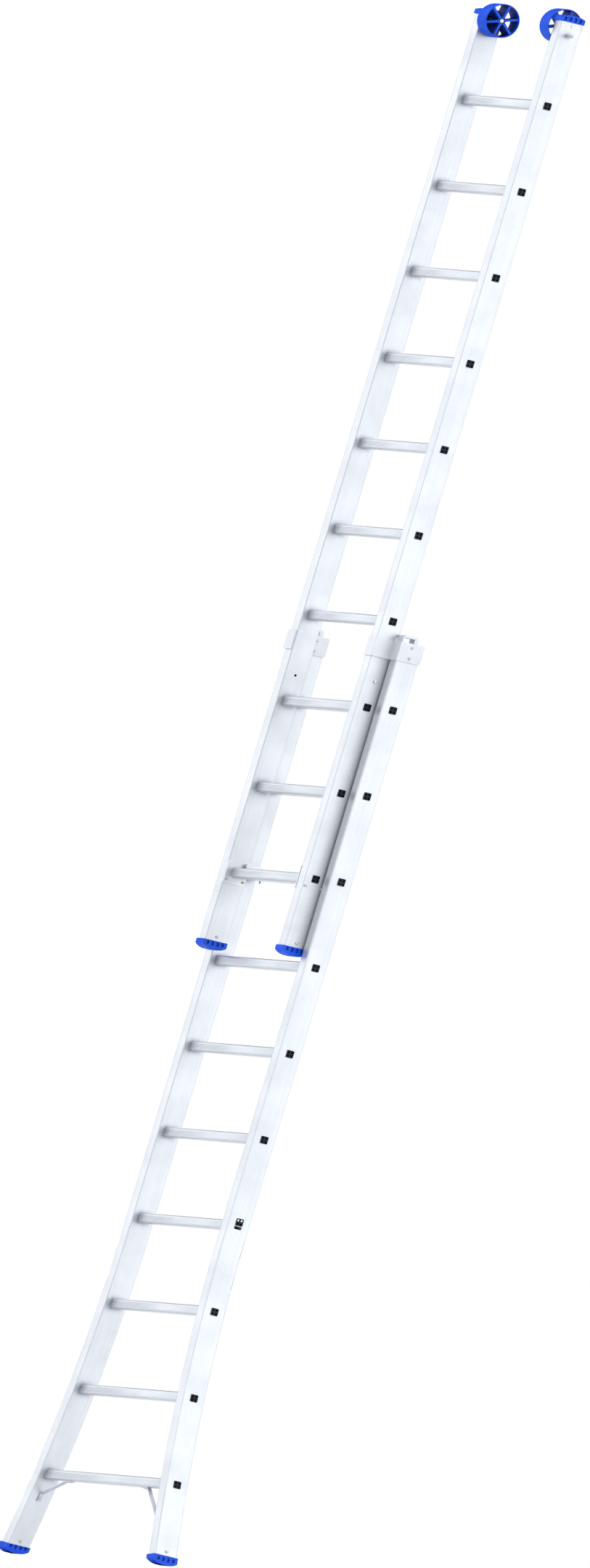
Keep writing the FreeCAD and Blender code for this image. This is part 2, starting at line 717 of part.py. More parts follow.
def rivets():
    both_sides("foot_cap_rivets", [
        rivet("foot_rivet", "(stile_width + fit_gap)", flare(CAP_RIVET_Z), "base_y", CAP_RIVET_Z,
              lean(CAP_RIVET_Z))])
    both_sides("fly_cap_rivets", [
        rivet("fly_foot_rivet", "stile_width", "fly_spacing / 2", "fly_y", "fly_bottom + cap_rivet_rise")])
    sleeve = "stile_width + 2 * guide_wall + 2 * guide_gap"
    both_sides("guide_rivets", [
        rivet("guide_rivet_%d" % number, sleeve, "base_spacing / 2", "base_y", z)
        for number, z in enumerate(("guide_rivet_low", "guide_rivet_high"))])
    grip = "stile_width + plate_thickness"
    both_sides("hook_plate_rivets", [
        rivet("plate_rivet_%d" % number, grip, "fly_spacing / 2 - plate_thickness / 2",
              "fly_y %s plate_rivet_y" % sign, "fly_first_rung - plate_rivet_drop")
        for number, sign in enumerate("-+")])


def peg(name, start, shank, shank_radius, head, head_radius):
    """Shank along +X from start, with a wider head beyond it."""
    x, y, z = start
    parts = [rod(name + "_shank", start, shank, shank_radius),
             rod(name + "_head", ("(%s) + (%s)" % (x, shank), y, z), head, head_radius)]
    return fuse(name, parts)


def stops():
    """Pegs and screws in the outer faces of the fly stiles that end its travel on the guides."""
    wall = "2 * stile_wall"
    start = "(%s) - (%s)" % (FLY_OUTER, wall)
    both_sides("stop_pins", [peg("stop_pin", (start, "fly_y + stop_pin_y", "stop_pin_z"), wall,
                                 "rivet_radius", "stop_pin_length", "stop_pin_radius")])
    both_sides("stop_screws", [peg("stop_screw", (start, "fly_y", "stop_screw_z"), wall,
                                   "rivet_radius", "stop_screw_height", "stop_screw_head")])


# ---------------------------------------------------------------- guides

def guide():
    """Casting on the top end of a base stile: a sleeve round the stile, an arm past the outer face
    of the fly stile, a lip in front of it, and a tie-off eye on top."""
    inner = "base_spacing / 2 - stile_width / 2 - guide_gap - guide_wall"
    outer = "base_spacing / 2 + stile_width / 2 + guide_gap + guide_wall"
    sleeve_front = "base_y - stile_depth / 2 - guide_wall"
    rear = "base_y + stile_depth / 2 + guide_rear_wall"
    lip_rear = "fly_y - stile_depth / 2 - lip_gap"
    lip_front = lip_rear + " - lip_thickness"
    low, high = "guide_bottom", "guide_top"
    parts = [box("guide_sleeve", (inner, sleeve_front, low), (outer, rear, high)),
             box("guide_arm", (inner, lip_front, low), (inner + " + guide_arm", sleeve_front, high)),
             box("guide_lip", (FLY_INNER, lip_front, low), (inner + " + guide_arm", lip_rear, high)),
             box("guide_eye", ("base_spacing / 2 - eye_width / 2", "base_y - eye_front", high),
                 ("base_spacing / 2 + eye_width / 2", "base_y + eye_rear", high + " + eye_height"))]
    solid = fuse("guide_solid", parts)
    solid.Refine = True
    doc.recompute()
    top = value("guide_top + eye_height")
    tall = value("guide_top - guide_bottom")
    wide = value("(%s) - (%s)" % (outer, inner))
    front, end = value("base_y - eye_front"), value("base_y + eye_rear")
    rounded = doc.addObject("Part::Fillet", "guide_rounded")
    rounded.Base = solid
    chosen = []
    for number, edge in enumerate(solid.Shape.Edges, start=1):
        middle = edge.CenterOfMass
        upright = abs(edge.Length - tall) < NEAR
        if abs(middle.z - top) < NEAR and min(abs(middle.y - front), abs(middle.y - end)) < NEAR:
            chosen.append((number, SIZES["eye_corner"], SIZES["eye_corner"]))
        elif upright and middle.y < value(lip_front) + NEAR:
            chosen.append((number, SIZES["lip_corner"], SIZES["lip_corner"]))
        elif upright and middle.y > value(rear) - NEAR:
            chosen.append((number, SIZES["guide_corner"], SIZES["guide_corner"]))
        elif middle.y > value(rear) - NEAR and abs(edge.Length - wide) < NEAR:
            chosen.append((number, SIZES["plate_corner"], SIZES["plate_corner"]))
    rounded.Edges = chosen
    cavity = box("guide_cavity", (inner + " + guide_wall", sleeve_front + " + guide_wall - guide_gap",
                                  low + " - guide_wall"),
                 (outer + " - guide_wall", "base_y + stile_depth / 2 + guide_gap", "base_top + fit_gap"))
    window = box("guide_window", (inner, "base_y - eye_front + eye_wall", high),
                 (outer, "base_y - eye_front + eye_wall + eye_window", high + " + eye_window_height"))
    holes = [rod("guide_hole_%d" % number, (inner + " - guide_wall", "base_y", z), "2 * stile_width",
                 "rivet_radius + fit_gap")
             for number, z in enumerate(("guide_rivet_low", "guide_rivet_high"))]
    body = cut("guide_right", rounded, fuse("guide_cutters", [cavity, window] + holes))
    keep(body, "guide_right")
    keep(mirrored(body, "guide_left_mirror"), "guide_left")


# ---------------------------------------------------------------- wall wheels

WHEEL_OUTER = "(%s) - wheel_gap" % FLY_INNER


def wheel():
    """Wheel with a rim, a hub and deep radial ribs, turning on a sleeve inside the fly stile. The nut
    sits in a recess of the hub.

    wheel_turn is the slope of its first rib, in degrees above +Y."""
    body = doc.addObject("PartDesign::Body", "wheel_blank")
    turn = FreeCAD.Rotation(FreeCAD.Vector(1, 0, 0), value("wheel_turn - 180 / wheel_ribs"))
    place(body, WHEEL_OUTER + " - wheel_width / 2", "fly_y + wheel_y", "wheel_z", turn)
    disc_shape = sketch_on(body, "YZ_Plane", "disc_shape")
    circle(disc_shape, "0", "0", "wheel_radius")
    circle(disc_shape, "0", "0", "sleeve_radius + running_gap")
    feature(body, "Pad", "disc", disc_shape, "wheel_width")
    window = sketch_on(body, "YZ_Plane", "window_shape")
    inner, outer = value("wheel_hub"), value("wheel_radius - wheel_rim")
    half_rib, half_angle = value("wheel_rib / 2"), math.pi / value("wheel_ribs")
    normal = FreeCAD.Vector(0, 0, 1)
    ends = []
    for radius in (inner, outer):
        reach = half_angle - math.asin(half_rib / radius)
        ring = Part.Circle(FreeCAD.Vector(), normal, radius)
        ends.append(window.addGeometry(Part.ArcOfCircle(ring, -reach, reach), False))
    for low, high in ((1, 1), (2, 2)):
        start = window.getPoint(ends[0], low)
        stop = window.getPoint(ends[1], high)
        side = window.addGeometry(Part.LineSegment(start, stop), False)
        window.addConstraint(Sketcher.Constraint("Coincident", ends[0], low, side, 1))
        window.addConstraint(Sketcher.Constraint("Coincident", ends[1], high, side, 2))
    for arc, radius in zip(ends, ("wheel_hub", "wheel_radius - wheel_rim")):
        window.addConstraint(Sketcher.Constraint("Coincident", arc, 3, -1, 1))
        constrain(window, "Radius", arc, radius)
    pocket = feature(body, "Pocket", "window", window, "2 * wheel_width")
    pattern = body.newObject("PartDesign::PolarPattern", "wheel_windows")
    pattern.Originals = [pocket]
    pattern.Axis = (next(part for part in body.Origin.OriginFeatures if part.Role == "X_Axis"), [""])
    bind(pattern, Occurrences="wheel_ribs")
    body.Tip = pattern
    round_edges(body, "tread", "tread_corner",
                lambda edge: abs(edge.Length - 2 * math.pi * value("wheel_radius")) < NEAR)
    recess = rod("nut_room", (WHEEL_OUTER + " - wheel_width - nut_sink", "fly_y + wheel_y", "wheel_z"),
                 "2 * nut_sink", "nut_recess")
    made = cut("wheel_right", body, recess)
    keep(made, "wheel_right")
    keep(mirrored(made, "wheel_left_mirror"), "wheel_left")


def wheel_mounting():
    """Flanged sleeve, bolt and nut that carry a wheel on the fly stile."""
    y, z = "fly_y + wheel_y", "wheel_z"
    inboard = WHEEL_OUTER + " - wheel_width + nut_sink - fit_gap"
    tube = rod("sleeve_tube", (inboard, y, z), "(%s) - (%s)" % (FLY_INNER, inboard), "sleeve_radius")
    flange = rod("sleeve_edge", ("%s - sleeve_flange_thickness" % FLY_INNER, y, z),
                 "sleeve_flange_thickness", "sleeve_flange")
    hole = rod("sleeve_hole", (inboard + " - axle_end", y, z), "2 * wheel_width", "axle_radius + fit_gap")
    sleeve = cut("wheel_sleeve_right", fuse("sleeve_solid", [tube, flange]), hole)
    keep(sleeve, "wheel_sleeve_right")
    keep(mirrored(sleeve, "wheel_sleeve_left_mirror"), "wheel_sleeve_left")
    start = inboard + " - nut_height"
    axle = peg("wheel_axle_right", (start, y, z), "(%s) - (%s)" % (FLY_OUTER, start), "axle_radius",
               "axle_head_height", "axle_head")
    keep(axle, "wheel_axle_right")
    keep(mirrored(axle, "wheel_axle_left_mirror"), "wheel_axle_left")
    nut = doc.addObject("Part::Prism", "nut_body")
    nut.Polygon = 6
    place(nut, start + " + axle_end", y, z, FreeCAD.Rotation(FreeCAD.Vector(0, 1, 0), 90))
    bind(nut, Circumradius="nut_radius", Height="nut_height - axle_end")
    bore = rod("nut_bore", (start, y, z), "nut_height", "axle_radius")
    both_sides("wheel_nuts", [cut("wheel_nut", nut, bore)])


# ---------------------------------------------------------------- rung hooks

HOOK_Y = "fly_y + hook_pivot_y"
HOOK_Z = "fly_first_rung + hook_pivot_rise"
PLATE_INNER = "(%s) - plate_thickness" % FLY_INNER


def hook_plate():
    """Steel plate on the inner face of the fly stile, round its lowest rung."""
    body = doc.addObject("PartDesign::Body", "hook_plate_right")
    place(body, PLATE_INNER + " + plate_thickness / 2", "fly_y", "fly_first_rung")
    shape = sketch_on(body, "YZ_Plane", "plate_shape")
    rounded_rectangle(shape, "0", "0", "plate_depth", "plate_height", "plate_corner")
    feature(body, "Pad", "plate", shape, "plate_thickness")
    opening = sketch_on(body, "YZ_Plane", "rung_opening_shape")
    rounded_rectangle(opening, "0", "0", "plate_hole", "plate_hole", "rung_corner")
    feature(body, "Pocket", "rung_opening", opening, "stile_width")
    holes = sketch_on(body, "YZ_Plane", "hole_shape")
    for y in ("plate_rivet_y", "-plate_rivet_y"):
        circle(holes, y, "-plate_rivet_drop", "rivet_radius + fit_gap")
    circle(holes, "hook_pivot_y", "hook_pivot_rise", "pin_radius + fit_gap")
    feature(body, "Pocket", "holes", holes, "stile_width")
    keep(body, "hook_plate_right")
    keep(mirrored(body, "hook_plate_left_mirror"), "hook_plate_left")


def hook():
    """Hook that drops behind a base rung: an eye, a bar over the rung and a leg behind it."""
    body = doc.addObject("PartDesign::Body", "hook_right")
    place(body, PLATE_INNER + " - hook_gap - hook_thickness / 2", HOOK_Y, HOOK_Z)
    blade = sketch_on(body, "YZ_Plane", "blade_shape")
    under, top = "-hook_bar_under", "hook_bar_top"
    polygon(blade, [("0", under), ("hook_reach - hook_leg", under), ("hook_reach - hook_leg", "-hook_drop"),
                    ("hook_reach - hook_leg / 3", "-hook_drop"), ("hook_reach", "-hook_drop + hook_leg"),
                    ("hook_reach", top), ("0", top)])
    feature(body, "Pad", "blade", blade, "hook_thickness")
    corner = value("hook_reach")
    round_edges(body, "shoulder", "hook_corner", lambda edge: abs(edge.CenterOfMass.y - corner) < NEAR
                and abs(edge.CenterOfMass.z - value("hook_bar_top")) < NEAR)
    eye = sketch_on(body, "YZ_Plane", "eye_shape")
    circle(eye, "0", "0", "hook_eye")
    feature(body, "Pad", "eye", eye, "hook_thickness")
    bore = sketch_on(body, "YZ_Plane", "bore_shape")
    circle(bore, "0", "0", "pin_radius + running_gap")
    feature(body, "Pocket", "bore", bore, "2 * hook_thickness")
    keep(body, "hook_right")
    keep(mirrored(body, "hook_left_mirror"), "hook_left")


def hook_pin():
    """Headed pin that holds the hook on its plate and the stile's inner wall."""
    head_start = PLATE_INNER + " - 2 * hook_gap - hook_thickness - pin_head_height"
    head = rod("pin_head", (head_start, HOOK_Y, HOOK_Z), "pin_head_height", "pin_head")
    reach = "plate_thickness + 2 * hook_gap + hook_thickness + stile_wall + pin_head_height"
    shank = rod("pin_shank", (head_start, HOOK_Y, HOOK_Z), reach, "pin_radius")
    pin = fuse("hook_pin_right", [head, shank])
    keep(pin, "hook_pin_right")
    keep(mirrored(pin, "hook_pin_left_mirror"), "hook_pin_left")


# ---------------------------------------------------------------- braces

def brace(side):
    """Flat bar from the underside of the lowest rung to the inner face of the flared right stile.

    It lies flat under the rung, bends down and out, and ends in a tab along the stile."""
    foot = "brace_foot_" + side
    body = doc.addObject("PartDesign::Body", "brace_bar_" + side)
    place(body, y="base_y + brace_offset")
    under = "base_first_rung - rung_size / 2 - fit_gap"
    face = "(%s) - fit_gap" % flare(foot, "-stile_width / 2")
    slant = "((flare_start - %s) / flare_radius)" % foot
    across = "brace_thickness * sqrt(1 - %s^2)" % slant
    down = "brace_thickness * %s" % slant
    tab_top = ("(%s) - brace_tab / 2 * %s" % (face, slant), "%s + brace_tab / 2" % foot)
    tab_end = ("(%s) + brace_tab / 2 * %s" % (face, slant), "%s - brace_tab / 2" % foot)
    inner_end = ("(%s) - %s" % (tab_end[0], across), "%s - %s" % (tab_end[1], down))
    inner_top = ("(%s) - %s" % (tab_top[0], across), "%s - %s" % (tab_top[1], down))
    shape = sketch_on(body, "XZ_Plane", "bar_shape")
    polygon(shape, [("brace_top_x - brace_tab", under), ("brace_top_x", under), tab_top, tab_end,
                    inner_end, inner_top, ("brace_top_x - brace_thickness / 2", under + " - brace_thickness"),
                    ("brace_top_x - brace_tab", under + " - brace_thickness")])
    feature(body, "Pad", "bar", shape, "brace_width")
    square_hole(body, "lower_hole", foot, "rivet_radius + fit_gap")
    upper_hole = sketch_on(body, "XY_Plane", "upper_hole_shape")
    circle(upper_hole, BRACE_RIVET_X, "0", "rivet_radius + fit_gap")
    feature(body, "Pocket", "upper_hole", upper_hole, "base_first_rung", "One side", flip=True)
    return body


def braces():
    keep(brace("right"), "brace_right")
    keep(mirrored(brace("left"), "brace_left_mirror"), "brace_left")


# ---------------------------------------------------------------- the whole ladder

def write_parts():
    doc.recompute()
    failed = [thing.Name for thing in doc.Objects if {"Invalid", "Error"} & set(thing.State)]
    for node in NODES:
        shape = node.Shape
        if shape.isNull() or not shape.isValid() or shape.Volume <= 0:
            failed.append(node.Label)
    if failed:
        raise RuntimeError("failed: " + ", ".join(failed))
    os.makedirs("parts", exist_ok=True)
    for node in NODES:
        node.Shape.exportStep(os.path.join("parts", node.Label + ".step"))
        print("%-22s %10.1f mm3  %d solids" % (node.Label, node.Shape.Volume, len(node.Shape.Solids)))


base_stile()
fly_stile()
base_rungs()
fly_rungs()
rung_plugs()
caps()
guide()
rivets()
brace_rivets()
stops()
wheel()
wheel_mounting()
hook_plate()
hook()
hook_pin()
braces()
write_parts()
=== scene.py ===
import json
import math

import bmesh
import bpy
from mathutils import Matrix, Vector


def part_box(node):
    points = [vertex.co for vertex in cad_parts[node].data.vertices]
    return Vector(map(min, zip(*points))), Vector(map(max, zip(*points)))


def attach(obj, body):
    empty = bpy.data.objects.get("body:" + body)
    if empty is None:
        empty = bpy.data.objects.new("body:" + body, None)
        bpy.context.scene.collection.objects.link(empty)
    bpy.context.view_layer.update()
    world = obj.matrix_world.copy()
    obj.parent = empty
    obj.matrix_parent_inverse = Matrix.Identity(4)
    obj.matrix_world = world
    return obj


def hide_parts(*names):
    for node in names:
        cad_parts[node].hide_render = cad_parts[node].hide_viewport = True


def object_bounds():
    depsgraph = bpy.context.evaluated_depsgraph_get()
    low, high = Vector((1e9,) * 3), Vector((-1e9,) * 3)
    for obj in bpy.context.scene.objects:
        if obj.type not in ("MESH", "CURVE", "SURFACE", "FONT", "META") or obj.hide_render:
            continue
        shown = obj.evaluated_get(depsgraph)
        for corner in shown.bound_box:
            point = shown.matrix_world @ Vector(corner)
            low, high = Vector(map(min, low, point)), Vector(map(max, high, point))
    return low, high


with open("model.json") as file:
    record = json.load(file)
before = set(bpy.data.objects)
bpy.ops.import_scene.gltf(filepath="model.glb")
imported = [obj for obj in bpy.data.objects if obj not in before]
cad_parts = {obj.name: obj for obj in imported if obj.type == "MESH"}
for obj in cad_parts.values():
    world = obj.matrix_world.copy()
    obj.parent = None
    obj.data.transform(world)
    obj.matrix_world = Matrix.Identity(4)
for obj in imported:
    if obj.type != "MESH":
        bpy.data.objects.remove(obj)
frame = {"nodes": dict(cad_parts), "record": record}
CAD_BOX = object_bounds()
NODES = frame["nodes"]

# Extension ladder, standing on its feet: +Z up the stiles, -Y the climbed side. Metres.
SIDES = ("left", "right")
RUNG_COUNT = 10
SECTIONS = ("base", "fly")

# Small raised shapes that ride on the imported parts
RIB_COUNT = 6
RIB_PITCH = 0.0028
RIB_WIDTH = 0.0013
RIB_HEIGHT = 0.00028
DOME_RADIUS = 0.0043
DOME_HEIGHT = 0.0013
RIM_WIDTH = 0.0011
RIM_HEIGHT = 0.0005
PLUG_LIP = 0.0006

# A stile face carries painted shade if its distance from the middle, times how squarely it faces
# sideways, is over this
FACE_LIMIT = 0.05

# View of the ladder
VIEW_AZIMUTH = 50.84
VIEW_ELEVATION = -5.68
VIEW_ROLL = 12.96
VIEW_HEIGHT = 4.957
VIEW_STRETCH = 1.3024
CAMERA_SCALE = 5.2
CAMERA_DISTANCE = 14.0
AIM_OFFSET = (-0.020, -0.0226, -0.0125)


# ---------------------------------------------------------------- the view

def view_axes():
    """Right, up and towards-the-viewer directions of the main view."""
    azimuth, elevation, roll = (math.radians(a) for a in (VIEW_AZIMUTH, VIEW_ELEVATION, VIEW_ROLL))
    back = Vector((math.sin(azimuth) * math.cos(elevation), -math.cos(azimuth) * math.cos(elevation),
                   math.sin(elevation)))
    level_up = (Vector((0, 0, 1)) - back.z * back).normalized()
    level_right = level_up.cross(back)
    right = level_right * math.cos(roll) + level_up * math.sin(roll)
    up = level_up * math.cos(roll) - level_right * math.sin(roll)
    return right, up, back


def stretched(direction, back, factor):
    """Unit vector along direction whose share across the view is 1 / factor of its length."""
    return direction / factor + back * math.sqrt(1 - 1 / factor ** 2)


def make_camera():
    """Parallel view, wider than high: its axes lean towards the viewer, which stretches the picture."""
    right, up, back = view_axes()
    high = CAMERA_SCALE / VIEW_HEIGHT
    wide = high * VIEW_STRETCH
    low, top = CAD_BOX
    aim = (low + top) / 2 + Vector(AIM_OFFSET)
    columns = (stretched(right, back, wide), stretched(up, back, high), back, aim + back * CAMERA_DISTANCE)
    view = Matrix.Identity(4)
    for column, axis in enumerate(columns):
        for row in range(3):
            view[row][column] = axis[row]
    data = bpy.data.cameras.new("camera")
    data.type = "ORTHO"
    data.ortho_scale = CAMERA_SCALE
    data.clip_end = 4 * CAMERA_DISTANCE
    camera = bpy.data.objects.new("camera", data)
    stand = bpy.data.objects.new("camera_stand", None)
    bpy.context.scene.collection.objects.link(camera)
    bpy.context.scene.collection.objects.link(stand)
    camera.parent = stand
    camera.matrix_parent_inverse = view
    bpy.context.scene.camera = camera


# ---------------------------------------------------------------- node tree helpers

def add(tree, kind, settings=None, **values):
    """New node of a tree. settings are its own properties, values go to its inputs by name."""
    made = tree.nodes.new(kind)
    for name, setting in (settings or {}).items():
        setattr(made, name, setting)
    for name, content in values.items():
        feed(tree, made.inputs[name.replace("_", " ")], content)
    return made


def feed(tree, socket, content):
    """Link a socket to another, or set its value."""
    if isinstance(content, bpy.types.NodeSocket):
        tree.links.new(content, socket)
    else:
        socket.default_value = content


def group_tree(name, kind, inputs, outputs):
    """Empty node group with named sockets. Each entry is a name, a socket type and a default."""
    tree = bpy.data.node_groups.new(name, kind)
    for side, entries in (("INPUT", inputs), ("OUTPUT", outputs)):
        for title, socket_type, *default in entries:
            socket = tree.interface.new_socket(title, in_out=side, socket_type=socket_type)
            if default:
                socket.default_value = default[0]
    return tree, tree.nodes.new("NodeGroupInput").outputs, tree.nodes.new("NodeGroupOutput").inputs


# ---------------------------------------------------------------- shared surface effects

def noise(tree, position, scale, detail=2.0, roughness=0.5):
    """Noise texture in metres: scale is how many cells fit in a metre."""
    return add(tree, "ShaderNodeTexNoise", Vector=position, Scale=scale, Detail=detail, Roughness=roughness)


def blend_range(tree, value, low, high, start=0.0, stop=1.0):
    """A value from low to high mapped to start to stop, clamped."""
    made = add(tree, "ShaderNodeMapRange")
    for name, content in (("Value", value), ("From Min", low), ("From Max", high),
                          ("To Min", start), ("To Max", stop)):
        feed(tree, made.inputs[name], content)
    return made.outputs["Result"]


def drawn_grain():
    """Fine lines that run along an extruded or drawn piece."""
    tree, inside, out = group_tree(
        "drawn_grain", "ShaderNodeTree",
        [("Position", "NodeSocketVector"), ("Lines", "NodeSocketVector", (900.0, 900.0, 4.0))],
        [("Height", "NodeSocketFloat"), ("Tone", "NodeSocketFloat")])
    drawn = add(tree, "ShaderNodeVectorMath", {"operation": "MULTIPLY"})
    feed(tree, drawn.inputs[0], inside["Position"])
    feed(tree, drawn.inputs[1], inside["Lines"])
    fine = noise(tree, drawn.outputs[0], 1.0, 3.0, 0.6)
    broad = noise(tree, drawn.outputs[0], 0.12, 2.0)
    feed(tree, out["Height"], fine.outputs["Fac"])
    feed(tree, out["Tone"], blend_range(tree, broad.outputs["Fac"], 0.35, 0.65))
    return tree


def handling_marks():
    """Soft blotches of oxide and hand marks, with a few fine random scratches."""
    tree, inside, out = group_tree(
        "handling_marks", "ShaderNodeTree",
        [("Position", "NodeSocketVector"), ("Blotch Scale", "NodeSocketFloat", 9.0),
         ("Scratch Scale", "NodeSocketFloat", 160.0)],
        [("Blotches", "NodeSocketFloat"), ("Scratches", "NodeSocketFloat")])
    soft = noise(tree, inside["Position"], inside["Blotch Scale"], 4.0, 0.55)
    feed(tree, out["Blotches"], blend_range(tree, soft.outputs["Fac"], 0.38, 0.68))
    bent = noise(tree, inside["Position"], 3.0, 2.0)
    warped = add(tree, "ShaderNodeVectorMath", {"operation": "ADD"})
    feed(tree, warped.inputs[0], inside["Position"])
    feed(tree, warped.inputs[1], bent.outputs["Color"])
    lines = add(tree, "ShaderNodeTexVoronoi", {"feature": "DISTANCE_TO_EDGE"}, Vector=warped.outputs[0],
                Scale=inside["Scratch Scale"])
    thin = blend_range(tree, lines.outputs["Distance"], 0.0, 0.02, 1.0, 0.0)
    rare = blend_range(tree, noise(tree, inside["Position"], 14.0).outputs["Fac"], 0.58, 0.66)
    both = add(tree, "ShaderNodeMath", {"operation": "MULTIPLY"})
    feed(tree, both.inputs[0], thin)
    feed(tree, both.inputs[1], rare)
    feed(tree, out["Scratches"], both.outputs[0])
    return tree


def moulded_skin():
    """Spark-eroded texture of moulded plastic, with slow changes of tone from the flow of the melt."""
    tree, inside, out = group_tree(
        "moulded_skin", "ShaderNodeTree",
        [("Position", "NodeSocketVector"), ("Pebble Scale", "NodeSocketFloat", 1400.0),
         ("Flow Scale", "NodeSocketFloat", 30.0)],
        [("Height", "NodeSocketFloat"), ("Flow", "NodeSocketFloat")])
    pebble = noise(tree, inside["Position"], inside["Pebble Scale"], 2.0)
    flow = noise(tree, inside["Position"], inside["Flow Scale"], 3.0)
    feed(tree, out["Height"], pebble.outputs["Fac"])
    feed(tree, out["Flow"], blend_range(tree, flow.outputs["Fac"], 0.35, 0.65))
    return tree


def cast_skin():
    """Sand-cast surface: rounded grains, with small pits."""
    tree, inside, out = group_tree(
        "cast_skin", "ShaderNodeTree",
        [("Position", "NodeSocketVector"), ("Grain Scale", "NodeSocketFloat", 700.0)],
        [("Height", "NodeSocketFloat"), ("Pits", "NodeSocketFloat")])
    grains = add(tree, "ShaderNodeTexVoronoi", {"feature": "SMOOTH_F1"}, Vector=inside["Position"],
                 Scale=inside["Grain Scale"])
    pits = noise(tree, inside["Position"], 260.0, 2.0)
    feed(tree, out["Height"], grains.outputs["Distance"])
    feed(tree, out["Pits"], blend_range(tree, pits.outputs["Fac"], 0.62, 0.72))
    return tree


def calculated(tree, operation, *values):
    """Output of a maths node on up to three values or sockets."""
    made = add(tree, "ShaderNodeMath", {"operation": operation})
    for socket, content in zip(made.inputs, values):
        feed(tree, socket, content)
    return made.outputs[0]


def painted_joint_shade():
    """Painted shade round square joints that repeat up a stile, on one of its two faces: soft dark rings
    where a rung or pin meets it, or a dark patch behind a wheel.

    Side is -1 for the faces that look at the ladder's middle and 1 for those that look away from it."""
    tree, inside, out = group_tree(
        "painted_joint_shade", "ShaderNodeTree",
        [("Position", "NodeSocketVector"), ("Facing", "NodeSocketVector"), ("Depth", "NodeSocketFloat"),
         ("First", "NodeSocketFloat"), ("Pitch", "NodeSocketFloat", 1.0), ("Half", "NodeSocketFloat"),
         ("Fade", "NodeSocketFloat", 0.01), ("Side", "NodeSocketFloat", -1.0)],
        [("Grime", "NodeSocketFloat")])
    place = add(tree, "ShaderNodeSeparateXYZ", Vector=inside["Position"]).outputs
    facing = add(tree, "ShaderNodeSeparateXYZ", Vector=inside["Facing"]).outputs
    half_pitch = calculated(tree, "MULTIPLY", inside["Pitch"], 0.5)
    low_pitch = calculated(tree, "MULTIPLY", inside["Pitch"], -0.5)
    climb = calculated(tree, "SUBTRACT", place["Z"], inside["First"])
    up = calculated(tree, "ABSOLUTE", calculated(tree, "WRAP", climb, half_pitch, low_pitch))
    along = calculated(tree, "ABSOLUTE", calculated(tree, "SUBTRACT", place["Y"], inside["Depth"]))
    past = [calculated(tree, "MAXIMUM", calculated(tree, "SUBTRACT", reach, inside["Half"]), 0.0)
            for reach in (along, up)]
    corner = add(tree, "ShaderNodeCombineXYZ", X=past[0], Y=past[1])
    length = add(tree, "ShaderNodeVectorMath", {"operation": "LENGTH"})
    feed(tree, length.inputs[0], corner.outputs[0])
    near = blend_range(tree, length.outputs["Value"], 0.0, inside["Fade"], 1.0, 0.0)
    outward = calculated(tree, "MULTIPLY", place["X"], facing["X"])
    on_side = calculated(tree, "MULTIPLY", outward, inside["Side"])
    shown = calculated(tree, "GREATER_THAN", on_side, FACE_LIMIT)
    specks = noise(tree, inside["Position"], 120.0, 3.0).outputs["Fac"]
    uneven = blend_range(tree, specks, 0.3, 0.7, 0.75, 1.0)
    soft = calculated(tree, "MULTIPLY", calculated(tree, "MULTIPLY", near, near), uneven)
    feed(tree, out["Grime"], calculated(tree, "MULTIPLY", soft, shown))
    return tree


def painted_pocket_shade():
    """Painted shade in a moulding's own pockets and inner corners, darker where less of the moulding round a
    point is open.
    """
    tree, inside, out = group_tree(
        "painted_pocket_shade", "ShaderNodeTree", [("Reach", "NodeSocketFloat", 0.01)], [("Deep", "NodeSocketFloat")])
    open_share = add(tree, "ShaderNodeAmbientOcclusion", {"samples": 8, "only_local": True},
                     Distance=inside["Reach"])
    feed(tree, out["Deep"], blend_range(tree, open_share.outputs["AO"], 0.25, 0.9, 1.0, 0.0))
    return tree


GRAIN = drawn_grain()
MARKS = handling_marks()
SKIN = moulded_skin()
CAST = cast_skin()
JOINT_SHADE = painted_joint_shade()
POCKET_SHADE = painted_pocket_shade()


# ---------------------------------------------------------------- materials

def new_material(name):
    material = bpy.data.materials.new(name)
    material.use_nodes = True
    tree = material.node_tree
    shader = tree.nodes["Principled BSDF"]
    position = add(tree, "ShaderNodeTexCoord").outputs["Object"]
    return material, tree, shader, position


def effect(tree, group, **values):
    return add(tree, "ShaderNodeGroup", {"node_tree": group}, **values).outputs


def mixed(tree, share, first, second):
    """Colour between first and second by a varying share."""
    made = add(tree, "ShaderNodeMix", {"data_type": "RGBA"})
    feed(tree, made.inputs["Factor"], share)
    feed(tree, made.inputs[6], first)
    feed(tree, made.inputs[7], second)
    return made.outputs[2]


def bumped(tree, shader, height, strength, distance):
    bump = add(tree, "ShaderNodeBump", Height=height)
    bump.inputs["Strength"].default_value = strength
    bump.inputs["Distance"].default_value = distance
    feed(tree, shader.inputs["Normal"], bump.outputs["Normal"])


